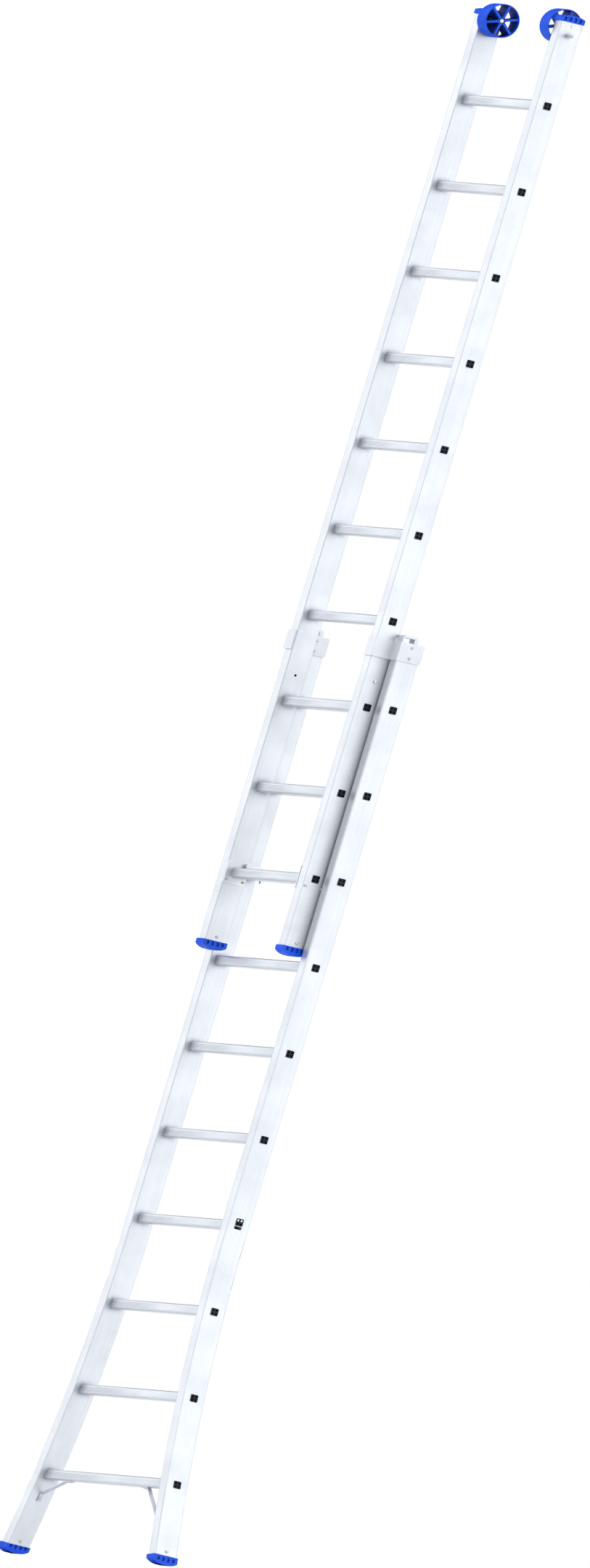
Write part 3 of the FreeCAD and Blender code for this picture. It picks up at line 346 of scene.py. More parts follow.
def aluminium(name, bright, dull, lines, roughness, metallic=0.75, grain=0.06, shade_rings=()):
    """Drawn aluminium: bright and dull are its two tones, lines the grain's lines per metre by axis.

    The last argument holds the settings of its painted shade, rings round joints and patches behind wheels,
    each with its tone and strength."""
    material, tree, shader, position = new_material(name)
    drawn = effect(tree, GRAIN, Position=position, Lines=lines)
    marks = effect(tree, MARKS, Position=position)
    toned = mixed(tree, drawn["Tone"], (*bright, 1), (*dull, 1))
    oxide = tuple(0.93 * channel for channel in dull)
    share = add(tree, "ShaderNodeMath", {"operation": "MULTIPLY"})
    feed(tree, share.inputs[0], marks["Blotches"])
    share.inputs[1].default_value = 0.5
    colour = mixed(tree, share.outputs[0], toned, (*oxide, 1))
    facing = next(node for node in tree.nodes if node.type == "TEX_COORD").outputs["Normal"]
    # Painted shade laid over the colour: dark rings round joints and pin roots, a dark patch behind each
    # wheel
    for tone, strength, settings in shade_rings:
        ring_shade = effect(tree, JOINT_SHADE, Position=position, Facing=facing, **settings)["Grime"]
        colour = mixed(tree, calculated(tree, "MULTIPLY", ring_shade, strength), colour, (*tone, 1))
    feed(tree, shader.inputs["Base Color"], colour)
    worn = add(tree, "ShaderNodeMath", {"operation": "ADD"})
    feed(tree, worn.inputs[0], blend_range(tree, marks["Blotches"], 0.0, 1.0, roughness, roughness + 0.09))
    feed(tree, worn.inputs[1], blend_range(tree, marks["Scratches"], 0.0, 1.0, 0.0, 0.12))
    feed(tree, shader.inputs["Roughness"], worn.outputs[0])
    shader.inputs["Metallic"].default_value = metallic
    bumped(tree, shader, drawn["Height"], grain, 0.0001)
    return material


def casting(name, bright, dull):
    """Die-cast and blasted aluminium."""
    material, tree, shader, position = new_material(name)
    skin = effect(tree, CAST, Position=position)
    marks = effect(tree, MARKS, Position=position)
    toned = mixed(tree, marks["Blotches"], (*bright, 1), (*dull, 1))
    pitted = tuple(0.93 * channel for channel in dull)
    feed(tree, shader.inputs["Base Color"], mixed(tree, skin["Pits"], toned, (*pitted, 1)))
    feed(tree, shader.inputs["Roughness"], blend_range(tree, marks["Blotches"], 0.0, 1.0, 0.5, 0.62))
    shader.inputs["Metallic"].default_value = 0.6
    bumped(tree, shader, skin["Height"], 0.15, 0.0002)
    return material


def zinc(name, bright, dull, roughness):
    """Zinc-plated steel with its spangle of bluish and greyish crystals."""
    material, tree, shader, position = new_material(name)
    crystals = add(tree, "ShaderNodeTexVoronoi", Vector=position, Scale=260.0)
    tone = add(tree, "ShaderNodeSeparateColor", Color=crystals.outputs["Color"])
    marks = effect(tree, MARKS, Position=position)
    feed(tree, shader.inputs["Base Color"], mixed(tree, tone.outputs[0], (*bright, 1), (*dull, 1)))
    feed(tree, shader.inputs["Roughness"],
         blend_range(tree, marks["Blotches"], 0.0, 1.0, roughness, roughness + 0.15))
    shader.inputs["Metallic"].default_value = 0.9
    bumped(tree, shader, tone.outputs[0], 0.08, 0.0001)
    return material


def plastic(name, bright, deep, roughness, pebble=1400.0, shade=0.0, reach=0.01):
    """Moulded plastic: bright and deep are the two tones of its melt, shade how dark the painted shade in its
    pockets is.
    """
    material, tree, shader, position = new_material(name)
    skin = effect(tree, SKIN, Position=position, Pebble_Scale=pebble)
    marks = effect(tree, MARKS, Position=position, Blotch_Scale=26.0, Scratch_Scale=300.0)
    melt = mixed(tree, skin["Flow"], (*bright, 1), (*deep, 1))
    rubbed = tuple(channel + 0.10 * (1 - channel) for channel in bright)
    colour = mixed(tree, marks["Scratches"], melt, (*rubbed, 1))
    # Painted shade: pockets and inner corners darkened by the moulding's own occlusion
    pocket_shade = effect(tree, POCKET_SHADE, Reach=reach)["Deep"]
    dark = tuple(0.12 * channel for channel in deep)
    colour = mixed(tree, calculated(tree, "MULTIPLY", pocket_shade, shade), colour, (*dark, 1))
    feed(tree, shader.inputs["Base Color"], colour)
    feed(tree, shader.inputs["Roughness"],
         blend_range(tree, marks["Blotches"], 0.0, 1.0, roughness, roughness + 0.14))
    shader.inputs["Specular IOR Level"].default_value = 0.2
    bumped(tree, shader, skin["Height"], 0.18, 0.0001)
    return material


ALONG_Z = (900.0, 900.0, 4.0)
ALONG_X = (4.0, 900.0, 900.0)
# Tones of painted shade: bluish grey round joints, near black behind the wheels
JOINT_SHADE_TONE = (0.16, 0.18, 0.26)
WHEEL_SHADOW_TONE = (0.020, 0.022, 0.020)

# A pitch longer than the ladder, for a painted shade that stands in one place only
PAST_THE_TOP = 20.0


def middle_of(node):
    """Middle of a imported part's box."""
    low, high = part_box(node)
    return (low + high) / 2


def rung_joint_shade(section):
    """Painted shade round the ends of a section's rungs, on the inner faces of its stiles."""
    first, second = (middle_of("%s_rung_%02d" % (section, number)) for number in (1, 2))
    low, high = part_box(section + "_rung_01")
    settings = {"Depth": first.y, "First": first.z, "Pitch": second.z - first.z,
                "Half": (high.z - low.z) / 2 - 0.002, "Fade": 0.020}
    return JOINT_SHADE_TONE, 0.75, settings


def wheel_shadow():
    """Painted shadow of the wheels: a near-black patch on the inner faces of the fly stiles, right behind
    them.
    """
    middle = middle_of("wheel_right")
    low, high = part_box("wheel_right")
    return WHEEL_SHADOW_TONE, 0.95, {"Depth": middle.y, "First": middle.z, "Pitch": PAST_THE_TOP,
                            "Half": 0.22 * (high.z - low.z), "Fade": 0.05}


def pin_root_shade():
    """Painted shade round the roots of the stop pins, on the outer faces of the fly stiles."""
    middle = middle_of("stop_pins")
    return JOINT_SHADE_TONE, 0.9, {"Depth": middle.y, "First": middle.z, "Pitch": PAST_THE_TOP, "Half": 0.003,
                             "Fade": 0.016, "Side": 1.0}


STILE_TONES = (0.60, 0.612, 0.632), (0.57, 0.582, 0.604)
FINISH = {
    # The stiles carry painted shade round their rung joints; the fly stiles also round the stop pins and
    # behind the wheels
    "stile_aluminium": aluminium("base_stile_aluminium", *STILE_TONES, ALONG_Z, 0.40,
                                 shade_rings=[rung_joint_shade("base")]),
    "fly_stile": aluminium("fly_stile_aluminium", *STILE_TONES, ALONG_Z, 0.40,
                           shade_rings=[rung_joint_shade("fly"), pin_root_shade(), wheel_shadow()]),
    "rung_aluminium": aluminium("rung_aluminium", (0.60, 0.61, 0.64), (0.56, 0.57, 0.60), ALONG_X, 0.38),
    "brace_aluminium": aluminium("brace_aluminium", (0.48, 0.49, 0.55), (0.44, 0.45, 0.51), ALONG_Z, 0.36),
    "rivet_aluminium": aluminium("rivet_aluminium", (0.50, 0.50, 0.51), (0.43, 0.43, 0.43),
                                 (400.0, 400.0, 400.0), 0.3, grain=0.1),
    "guide_casting": casting("guide_casting", (0.60, 0.61, 0.63), (0.57, 0.58, 0.60)),
    "zinc_steel": zinc("zinc_steel", (0.60, 0.62, 0.63), (0.55, 0.57, 0.58), 0.36),
    # Caps and wheels carry painted shade in their pockets and inner corners
    "cap_plastic": plastic("cap_plastic", (0.0004, 0.066, 0.60), (0.0003, 0.052, 0.50), 0.42, shade=0.95,
                           reach=0.008),
    "wheel_plastic": plastic("wheel_plastic", (0.0004, 0.064, 0.58), (0.0003, 0.050, 0.48), 0.40, shade=0.9,
                             reach=0.045),
    "plug_plastic": plastic("plug_plastic", (0.004, 0.005, 0.009), (0.002, 0.003, 0.006), 0.5),
    "bush_plastic": plastic("bush_plastic", (0.50, 0.51, 0.52), (0.44, 0.45, 0.46), 0.5),
}


def finish_of_nodes():
    """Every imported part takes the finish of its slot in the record. The fly stiles have their own."""
    for part in frame["record"]["subparts"]:
        finish = "fly_stile" if part["node"].startswith("fly_stile") else part["material_slot"]
        materials = NODES[part["node"]].data.materials
        materials.clear()
        materials.append(FINISH[finish])


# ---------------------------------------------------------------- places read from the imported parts

def separate_solids(node):
    """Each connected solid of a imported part, as a list of (normal, area, points) for its faces."""
    copy = bmesh.new()
    copy.from_mesh(NODES[node].data)
    bmesh.ops.remove_doubles(copy, verts=copy.verts, dist=1e-6)
    waiting = set(copy.verts)
    solids = []
    while waiting:
        seed = waiting.pop()
        edge, found = [seed], {seed}
        while edge:
            for link in edge.pop().link_edges:
                for near in link.verts:
                    if near not in found:
                        found.add(near)
                        edge.append(near)
        waiting -= found
        faces = {face for vertex in found for face in vertex.link_faces}
        solids.append([(face.normal.copy(), face.calc_area(), [v.co.copy() for v in face.verts])
                       for face in faces])
    copy.free()
    return solids


def flat_end(solid):
    """Direction of the solid's largest flat side."""
    areas = {}
    for normal, area, _ in solid:
        key = tuple(round(part, 2) + 0.0 for part in normal)
        total, whole = areas.get(key, (0.0, Vector()))
        areas[key] = (total + area, whole + normal * area)
    return max(areas.values(), key=lambda entry: entry[0])[1].normalized()


def end_centre(solid, axis):
    """Middle of the solid's outermost points along an axis."""
    points = {tuple(point) for _, _, corners in solid for point in corners}
    reach = max(Vector(point).dot(axis) for point in points)
    outer = [Vector(point) for point in points if reach - Vector(point).dot(axis) < 1e-5]
    low = Vector(min(point[k] for point in outer) for k in range(3))
    high = Vector(max(point[k] for point in outer) for k in range(3))
    return (low + high) / 2


def outer_ends(node):
    """Middle and direction of the end of each solid that faces away from the ladder's middle."""
    ends = []
    for solid in separate_solids(node):
        axis = flat_end(solid)
        middle = end_centre(solid, axis)
        if axis.x * middle.x < 0:
            axis = -axis
            middle = end_centre(solid, axis)
        ends.append((middle, axis))
    return ends


def both_ends(node):
    """Middle and direction of the two flat ends of each solid."""
    ends = []
    for solid in separate_solids(node):
        axis = flat_end(solid)
        ends += [(end_centre(solid, axis), axis), (end_centre(solid, -axis), -axis)]
    return ends


def facing(direction):
    """Turn that points +Z along a direction, with +Y as near to upright as it can be."""
    upright = Vector((0, 0, 1)) if abs(direction.z) < 0.9 else Vector((0, 1, 0))
    side = upright.cross(direction).normalized()
    return Matrix((side, direction.cross(side), direction)).transposed()


# ---------------------------------------------------------------- geometry nodes

def put_on_points(tree, points, shape, finish, out):
    """Instance a shape on points, turned and stretched by their attributes, as real mesh."""
    turn = add(tree, "GeometryNodeInputNamedAttribute", {"data_type": "FLOAT_VECTOR"}, Name="turn")
    stretch = add(tree, "GeometryNodeInputNamedAttribute", {"data_type": "FLOAT_VECTOR"}, Name="stretch")
    rotation = add(tree, "FunctionNodeEulerToRotation", Euler=turn.outputs["Attribute"])
    placed = add(tree, "GeometryNodeInstanceOnPoints", Points=points, Instance=shape,
                 Rotation=rotation.outputs["Rotation"], Scale=stretch.outputs["Attribute"])
    real = add(tree, "GeometryNodeRealizeInstances", Geometry=placed.outputs["Instances"])
    painted = add(tree, "GeometryNodeSetMaterial", Geometry=real.outputs["Geometry"], Material=finish)
    feed(tree, out["Geometry"], painted.outputs["Geometry"])


GEOMETRY_IN = ("Geometry", "NodeSocketGeometry")
FINISH_IN = ("Finish", "NodeSocketMaterial")


def dome_tree():
    """Low round head on every point."""
    tree, inside, out = group_tree(
        "rivet_dome", "GeometryNodeTree",
        [GEOMETRY_IN, FINISH_IN, ("Radius", "NodeSocketFloat"), ("Height", "NodeSocketFloat")], [GEOMETRY_IN])
    ball = add(tree, "GeometryNodeMeshUVSphere", Segments=20, Rings=10, Radius=1.0)
    size = add(tree, "ShaderNodeCombineXYZ", X=inside["Radius"], Y=inside["Radius"], Z=inside["Height"])
    head = add(tree, "GeometryNodeTransform", Geometry=ball.outputs["Mesh"], Scale=size.outputs[0])
    smooth = add(tree, "GeometryNodeSetShadeSmooth", Geometry=head.outputs["Geometry"])
    put_on_points(tree, inside["Geometry"], smooth.outputs["Geometry"], inside["Finish"], out)
    return tree


def rib_tree():
    """Row of low half-round ribs along X, side by side along Y, on every point."""
    tree, inside, out = group_tree(
        "tread_ribs", "GeometryNodeTree",
        [GEOMETRY_IN, FINISH_IN, ("Count", "NodeSocketInt"), ("Pitch", "NodeSocketFloat"),
         ("Width", "NodeSocketFloat"), ("Height", "NodeSocketFloat")], [GEOMETRY_IN])
    bar = add(tree, "GeometryNodeMeshCylinder", Vertices=12, Radius=1.0, Depth=2.0)
    size = add(tree, "ShaderNodeCombineXYZ", X=inside["Height"], Y=inside["Width"], Z=1.0)
    thin = add(tree, "GeometryNodeTransform", Geometry=bar.outputs["Mesh"], Scale=size.outputs[0])
    lying = add(tree, "GeometryNodeTransform", Geometry=thin.outputs["Geometry"],
                Rotation=(0.0, math.pi / 2, 0.0))
    spaces = add(tree, "ShaderNodeMath", {"operation": "SUBTRACT"})
    feed(tree, spaces.inputs[0], inside["Count"])
    spaces.inputs[1].default_value = 1.0
    spread = add(tree, "ShaderNodeMath", {"operation": "MULTIPLY"})
    feed(tree, spread.inputs[0], spaces.outputs[0])
    feed(tree, spread.inputs[1], inside["Pitch"])
    half = add(tree, "ShaderNodeMath", {"operation": "MULTIPLY"})
    feed(tree, half.inputs[0], spread.outputs[0])
    half.inputs[1].default_value = -0.5
    first = add(tree, "ShaderNodeCombineXYZ", Y=half.outputs[0])
    step = add(tree, "ShaderNodeCombineXYZ", Y=inside["Pitch"])
    row = add(tree, "GeometryNodeMeshLine", Count=inside["Count"], Start_Location=first.outputs[0],
              Offset=step.outputs[0])
    bars = add(tree, "GeometryNodeInstanceOnPoints", Points=row.outputs["Mesh"],
               Instance=lying.outputs["Geometry"])
    comb = add(tree, "GeometryNodeRealizeInstances", Geometry=bars.outputs["Instances"])
    smooth = add(tree, "GeometryNodeSetShadeSmooth", Geometry=comb.outputs["Geometry"])
    put_on_points(tree, inside["Geometry"], smooth.outputs["Geometry"], inside["Finish"], out)
    return tree


def rim_tree():
    """Thin rounded square ring on every point: the swaged end of a rung in the stile's face."""
    tree, inside, out = group_tree(
        "rung_end_rim", "GeometryNodeTree",
        [GEOMETRY_IN, FINISH_IN, ("Size", "NodeSocketFloat"), ("Corner", "NodeSocketFloat"),
         ("Width", "NodeSocketFloat"), ("Height", "NodeSocketFloat")], [GEOMETRY_IN])
    square = add(tree, "GeometryNodeCurvePrimitiveQuadrilateral", Width=inside["Size"],
                 Height=inside["Size"])
    rounded = add(tree, "GeometryNodeFilletCurve", {"mode": "POLY"}, Curve=square.outputs["Curve"],
                  Count=6, Radius=inside["Corner"])
    wire = add(tree, "GeometryNodeCurvePrimitiveCircle", Resolution=8, Radius=1.0)
    section_size = add(tree, "ShaderNodeCombineXYZ", X=inside["Width"], Y=inside["Height"], Z=1.0)
    section = add(tree, "GeometryNodeTransform", Geometry=wire.outputs["Curve"],
                  Scale=section_size.outputs[0])
    ring = add(tree, "GeometryNodeCurveToMesh", Curve=rounded.outputs["Curve"],
               Profile_Curve=section.outputs["Geometry"])
    smooth = add(tree, "GeometryNodeSetShadeSmooth", Geometry=ring.outputs["Mesh"])
    put_on_points(tree, inside["Geometry"], smooth.outputs["Geometry"], inside["Finish"], out)
    return tree


def pattern_tree():
    """Copy of a pattern piece on every point."""
    tree, inside, out = group_tree(
        "copies_of_pattern", "GeometryNodeTree",
        [GEOMETRY_IN, FINISH_IN, ("Pattern", "NodeSocketObject")], [GEOMETRY_IN])
    pattern = add(tree, "GeometryNodeObjectInfo", Object=inside["Pattern"])
    put_on_points(tree, inside["Geometry"], pattern.outputs["Geometry"], inside["Finish"], out)
    return tree


def grow(name, places, tree, body, slot, stretch=None, **inputs):
    """Piece made by a tree on a list of (point, direction) places, which then rides on a body."""
    mesh = bpy.data.meshes.new(name)
    mesh.from_pydata([point for point, _ in places], [], [])
    turns = mesh.attributes.new("turn", "FLOAT_VECTOR", "POINT")
    sizes = mesh.attributes.new("stretch", "FLOAT_VECTOR", "POINT")
    for index, (_, direction) in enumerate(places):
        turns.data[index].vector = facing(direction).to_euler()
        sizes.data[index].vector = (1, 1, 1) if stretch is None else stretch[index]
    piece = bpy.data.objects.new(name, mesh)
    bpy.context.scene.collection.objects.link(piece)
    modifier = piece.modifiers.new(name, "NODES")
    modifier.node_group = tree
    sockets = {item.name: item.identifier for item in tree.interface.items_tree if item.in_out == "INPUT"}
    modifier[sockets["Finish"]] = FINISH[slot]
    for title, content in inputs.items():
        modifier[sockets[title]] = content
    depsgraph = bpy.context.evaluated_depsgraph_get()
    made = bpy.data.meshes.new_from_object(piece.evaluated_get(depsgraph))
    piece.modifiers.clear()
    piece.data = made
    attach(piece, body)
    return piece


# ---------------------------------------------------------------- pieces

def rivet_domes():
    """Round heads over the flat heads of the rivets, screws and pins."""
    tree = dome_tree()
    wanted = {"base": ("foot_cap_rivets", "guide_rivets", "brace_rivets"),
              "fly": ("fly_cap_rivets", "hook_plate_rivets")}
    for body, nodes in wanted.items():
        places = [end for node in nodes for end in both_ends(node)]
        grow(body + "_rivet_domes", places, tree, body, "rivet_aluminium",
             Radius=DOME_RADIUS, Height=DOME_HEIGHT)
    low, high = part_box("stop_screws")
    height = (low.z + high.z) / 2
    depth = (low.y + high.y) / 2
    places = [(Vector((side * high.x, depth, height)), Vector((side, 0, 0))) for side in (-1, 1)]
    grow("stop_screw_domes", places, tree, "fly", "zinc_steel",
         Radius=(high.z - low.z) / 2, Height=DOME_HEIGHT)


def tread_ribs():
    """Low ribs along the top and the front of every rung."""
    tree = rib_tree()
    for section in SECTIONS:
        places, sizes = [], []
        for number in range(1, RUNG_COUNT + 1):
            low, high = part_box("%s_rung_%02d" % (section, number))
            middle = (low + high) / 2
            length = rung_clear_length(section, number)
            for direction in (Vector((0, 0, 1)), Vector((0, -1, 0))):
                places.append((middle + direction * (high.z - low.z) / 2, direction))
                sizes.append((length / 2, 1, 1))
        grow(section + "_tread_ribs", places, tree, section, "rung_aluminium", stretch=sizes,
             Count=RIB_COUNT, Pitch=RIB_PITCH, Width=RIB_WIDTH / 2, Height=RIB_HEIGHT)


def rung_clear_length(section, number):
    """Length of the full-size part of a rung, between the inner faces of its stiles."""
    mesh = NODES["%s_rung_%02d" % (section, number)].data
    low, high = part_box("%s_rung_%02d" % (section, number))
    middle = (low.z + high.z) / 2
    edge = (high.z - low.z) / 2 - 1e-5
    return 2 * max(v.co.x for v in mesh.vertices if v.co.z - middle > edge)


def plug_pattern(size, depth):
    """Moulded square plug: rounded corners, four pockets in its face and a boss in the middle."""
    half = size / 2
    wall, web = 0.14 * size, 0.10 * size
    lines = [-half, wall - half, -web, web, half - wall, half]
    shape = bmesh.new()
    grid = [[shape.verts.new((x, y, 0)) for x in lines] for y in lines]
    cells = {}
    for row in range(5):
        for column in range(5):
            corners = (grid[row][column], grid[row][column + 1],
                       grid[row + 1][column + 1], grid[row + 1][column])
            cells[row, column] = shape.faces.new(corners)
    pockets = [cells[row, column] for row in (1, 3) for column in (1, 3)]
    sunk = bmesh.ops.extrude_discrete_faces(shape, faces=pockets)["faces"]
    for face in sunk:
        bmesh.ops.scale(shape, vec=(0.86, 0.86, 1), verts=face.verts,
                        space=Matrix.Translation(-face.calc_center_median()))
        bmesh.ops.translate(shape, vec=(0, 0, -depth / 3), verts=face.verts)
    rim = [edge for edge in shape.edges if edge.is_boundary]
    skirt = bmesh.ops.extrude_edge_only(shape, edges=rim)["geom"]
    bottom = [item for item in skirt if isinstance(item, bmesh.types.BMVert)]
    bmesh.ops.translate(shape, vec=(0, 0, -depth), verts=bottom)
    bmesh.ops.contextual_create(shape, geom=[edge for edge in shape.edges if edge.is_boundary])
    upright = [edge for edge in shape.edges
               if all(abs(abs(v.co.x) - half) < 1e-6 and abs(abs(v.co.y) - half) < 1e-6 for v in edge.verts)]
    bmesh.ops.bevel(shape, geom=upright, offset=0.15 * size, segments=4, affect="EDGES", profile=0.5)
    bmesh.ops.recalc_face_normals(shape, faces=shape.faces)
    mesh = bpy.data.meshes.new("plug_pattern")
    shape.to_mesh(mesh)
    shape.free()
    pattern = bpy.data.objects.new("plug_pattern", mesh)
    bpy.context.scene.collection.objects.link(pattern)
    return pattern


def rung_plugs():
    """Detailed plugs in place of the plain ones, and the swaged rims of the rungs round them."""
    copies, rims = pattern_tree(), rim_tree()
    for section in SECTIONS:
        node = section + "_rung_plugs"
        ends = outer_ends(node)
        highest = max(point.z for point, _ in ends)
        size = 2 * (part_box(node)[1].z - highest)
        pattern = plug_pattern(size, size / 2)
        raised = [(point + direction * PLUG_LIP, direction) for point, direction in ends]
        plugs = grow(section + "_plug_faces", raised, copies, section, "plug_plastic", Pattern=pattern)
        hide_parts(node)
        bpy.data.objects.remove(pattern)
        grow(section + "_rung_rims", ends, rims, section, "rung_aluminium", Size=size + 2 * RIM_WIDTH,
             Corner=size / 6, Width=RIM_WIDTH, Height=RIM_HEIGHT)


# ---------------------------------------------------------------- wheels

WHEEL_SPOKES = 6
WHEEL_TURN = math.radians(17)
RIM_DEPTH = 0.0035
RIM_ROUNDING = 0.0016
HUB_RADIUS = 0.0115
BORE_RADIUS = 0.00605
NUT_ROOM_RADIUS = 0.008
NUT_ROOM_DEPTH = 0.008
SPOKE_THICKNESS = 0.008
SPOKE_RECESS = 0.002


def spun(outline, centre, steps):
    """Ring made by turning a closed outline of (x, radius) points about the X axis through centre."""
    shape = bmesh.new()
    rings = []
    for step in range(steps):
        angle = 2 * math.pi * step / steps
        rings.append([shape.verts.new(centre + Vector((x, r * math.cos(angle), r * math.sin(angle))))
                      for x, r in outline])
    for ring, following in zip(rings, rings[1:] + rings[:1]):
        for index in range(len(outline)):
            after = (index + 1) % len(outline)
            shape.faces.new((ring[index], ring[after], following[after], following[index]))
    return shape


def arc(x, radius, rounding, start, steps=4):
    """Quarter turn of a rounded edge whose sharp corner is at (x, radius), from start degrees."""
    towards = (math.copysign(1, math.cos(math.radians(start + 45))),
               math.copysign(1, math.sin(math.radians(start + 45))))
    middle = x - towards[0] * rounding, radius - towards[1] * rounding
    turns = [math.radians(start + 90 * step / steps) for step in range(steps + 1)]
    return [(middle[0] + rounding * math.cos(turn), middle[1] + rounding * math.sin(turn)) for turn in turns]


def tread_outline(half_width, radius):
    """Section of the rolling rim, a thin band with rounded edges."""
    inner = radius - RIM_DEPTH
    return (arc(half_width, radius, RIM_ROUNDING, 0) + arc(-half_width, radius, RIM_ROUNDING, 90)
            + arc(-half_width, inner, RIM_ROUNDING, 180) + arc(half_width, inner, RIM_ROUNDING, 270))


def hub_outline(half_width, inboard):
    """Section of the hub, with the room for the nut at its inboard end."""
    floor = half_width + SPOKE_RECESS - NUT_ROOM_DEPTH
    edge = RIM_ROUNDING / 3
    near = arc(half_width, HUB_RADIUS, edge, 0)
    far = arc(-half_width, HUB_RADIUS, edge, 90)
    bore = [(-half_width, BORE_RADIUS), (floor, BORE_RADIUS), (floor, NUT_ROOM_RADIUS),
            (half_width, NUT_ROOM_RADIUS)]
    return [(inboard * x, reach) for x, reach in near + far + bore]


def spoke(shape, centre, angle, half_width, inner, outer):
    """Deep rib from the hub to the rim, thinner at its two faces than in its middle."""
    along = Vector((0, math.cos(angle), math.sin(angle)))
    across = Vector((0, -math.sin(angle), math.cos(angle)))
    draft = 0.88
    rows = []
    for radius, flare in ((inner, 1.1), (inner + 0.2 * (outer - inner), 1.0),
                          (outer - 0.15 * (outer - inner), 1.0), (outer, 1.4)):
        thick = SPOKE_THICKNESS / 2 * flare
        outline = [(half_width, draft * thick), (0, thick), (-half_width, draft * thick),
                   (-half_width, -draft * thick), (0, -thick), (half_width, -draft * thick)]
        rows.append([shape.verts.new(centre + along * radius + across * t + Vector((x, 0, 0)))
                     for x, t in outline])
    for row, following in zip(rows, rows[1:]):
        for index in range(6):
            after = (index + 1) % 6
            shape.faces.new((row[index], row[after], following[after], following[index]))
    shape.faces.new(list(reversed(rows[0])))
    shape.faces.new(rows[-1])


def one_mesh(name, shapes):
    """Mesh of several closed shapes, each with its faces turned outwards."""
    joined = bmesh.new()
    for shape in shapes:
        bmesh.ops.recalc_face_normals(shape, faces=shape.faces)
        part = bpy.data.meshes.new(name + "_part")
        shape.to_mesh(part)
        shape.free()
        joined.from_mesh(part)
        bpy.data.meshes.remove(part)
    mesh = bpy.data.meshes.new(name)
    joined.to_mesh(mesh)
    joined.free()
    mesh.set_sharp_from_angle(angle=math.radians(35))
    mesh.shade_smooth()
    mesh.set_sharp_from_angle(angle=math.radians(35))
    return mesh


def wheels():
    """Moulded wheels: thin rounded tread, a hub that takes the nut, and six drafted ribs."""
    for side in SIDES:
        node = "wheel_" + side
        low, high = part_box(node)
        centre = (low + high) / 2
        inboard = -math.copysign(1, centre.x)
        half_width = (high.x - low.x) / 2
        radius = (high.z - low.z) / 2
        core = half_width - SPOKE_RECESS
        rim = spun(tread_outline(half_width, radius), centre, 96)
        hub = spun(hub_outline(core, inboard), centre, 48)
        spokes = bmesh.new()
        for number in range(WHEEL_SPOKES):
            angle = WHEEL_TURN + 2 * math.pi * number / WHEEL_SPOKES
            spoke(spokes, centre, angle, core, 0.86 * HUB_RADIUS, radius - 0.7 * RIM_DEPTH)
        mesh = one_mesh(node + "_moulding", [rim, hub, spokes])
        mesh.materials.append(FINISH["wheel_plastic"])
        piece = bpy.data.objects.new(node + "_moulding", mesh)
        bpy.context.scene.collection.objects.link(piece)
        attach(piece, node)
        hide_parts(node)


# ---------------------------------------------------------------- floor and light

FLOOR_HALF = 30.0
LAMP_DISTANCE = 9.0
STUDIO_TONE = (0.94, 0.97, 1.0, 1)
WHITE = (1, 1, 1, 1)
DARK = (0.0, 0.0, 0.0, 1)
STUDIO_STRENGTH = 2.0
DIM_AHEAD = 0.45
DIM_BEHIND = 0.02


def floor():
    """Pale floor that only shows from above."""
    mesh = bpy.data.meshes.new("floor")
    mesh.from_pydata([(x * FLOOR_HALF, y * FLOOR_HALF, 0) for x, y in ((-1, -1), (1, -1), (1, 1), (-1, 1))],
                     [], [(0, 1, 2, 3)])
    material = bpy.data.materials.new("floor")
    material.use_nodes = True
    tree = material.node_tree
    shader = tree.nodes["Principled BSDF"]
    shader.inputs["Base Color"].default_value = (0.86, 0.86, 0.87, 1)
    shader.inputs["Roughness"].default_value = 0.9
    through = add(tree, "ShaderNodeBsdfTransparent")
    side = add(tree, "ShaderNodeNewGeometry").outputs["Backfacing"]
    choice = add(tree, "ShaderNodeMixShader")
    feed(tree, choice.inputs[0], side)
    feed(tree, choice.inputs[1], shader.outputs[0])
    feed(tree, choice.inputs[2], through.outputs[0])
    feed(tree, tree.nodes["Material Output"].inputs["Surface"], choice.outputs[0])
    mesh.materials.append(material)
    plate = bpy.data.objects.new("floor", mesh)
    bpy.context.scene.collection.objects.link(plate)


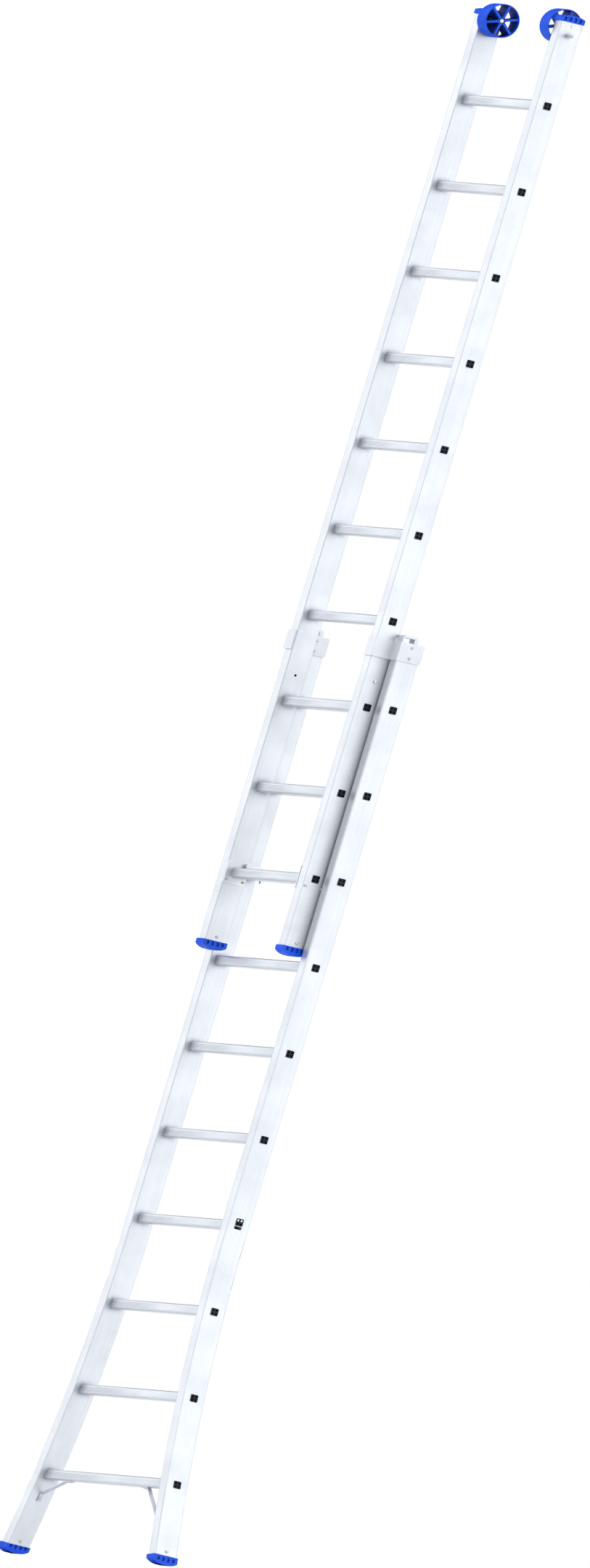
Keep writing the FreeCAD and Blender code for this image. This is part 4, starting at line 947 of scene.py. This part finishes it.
def daylight():
    """White studio lit from all round the ladder's sides. It is dim straight ahead and behind."""
    world = bpy.data.worlds.new("studio")
    bpy.context.scene.world = world
    world.use_nodes = True
    tree = world.node_tree
    shade = tree.nodes["Background"]
    direction = add(tree, "ShaderNodeTexCoord").outputs["Generated"]
    _, _, back = view_axes()
    along = add(tree, "ShaderNodeVectorMath", {"operation": "DOT_PRODUCT"})
    feed(tree, along.inputs[0], direction)
    along.inputs[1].default_value = back
    ahead = blend_range(tree, along.outputs["Value"], 0.55, 0.85, 1.0, DIM_AHEAD)
    behind = blend_range(tree, along.outputs["Value"], -0.7, -0.3, DIM_BEHIND, 1.0)
    level = calculated(tree, "MULTIPLY", ahead, behind)
    feed(tree, shade.inputs["Color"], mixed(tree, level, DARK, STUDIO_TONE))
    shade.inputs["Strength"].default_value = STUDIO_STRENGTH
    seen = add(tree, "ShaderNodeBackground")
    seen.inputs["Color"].default_value = WHITE
    seen.inputs["Strength"].default_value = 1.0
    choice = add(tree, "ShaderNodeMixShader")
    feed(tree, choice.inputs[0], add(tree, "ShaderNodeLightPath").outputs["Is Camera Ray"])
    feed(tree, choice.inputs[1], shade.outputs[0])
    feed(tree, choice.inputs[2], seen.outputs[0])
    feed(tree, tree.nodes["World Output"].inputs["Surface"], choice.outputs[0])


def soft_light(name, towards, size, power):
    """Large square lamp at a direction from the ladder's middle, aimed at it."""
    low, top = CAD_BOX
    middle = (low + top) / 2
    lamp = bpy.data.lights.new(name, "AREA")
    lamp.size = size
    lamp.energy = power
    holder = bpy.data.objects.new(name, lamp)
    direction = Vector(towards).normalized()
    holder.location = middle + direction * LAMP_DISTANCE
    holder.rotation_euler = direction.to_track_quat("Z", "Y").to_euler()
    bpy.context.scene.collection.objects.link(holder)


# ---------------------------------------------------------------- the whole ladder

make_camera()
finish_of_nodes()
rivet_domes()
tread_ribs()
rung_plugs()
wheels()
floor()
daylight()
soft_light("key_light", (-0.5, -1.0, 0.5), 5.0, 15)
bpy.context.scene.view_settings.view_transform = "Standard"
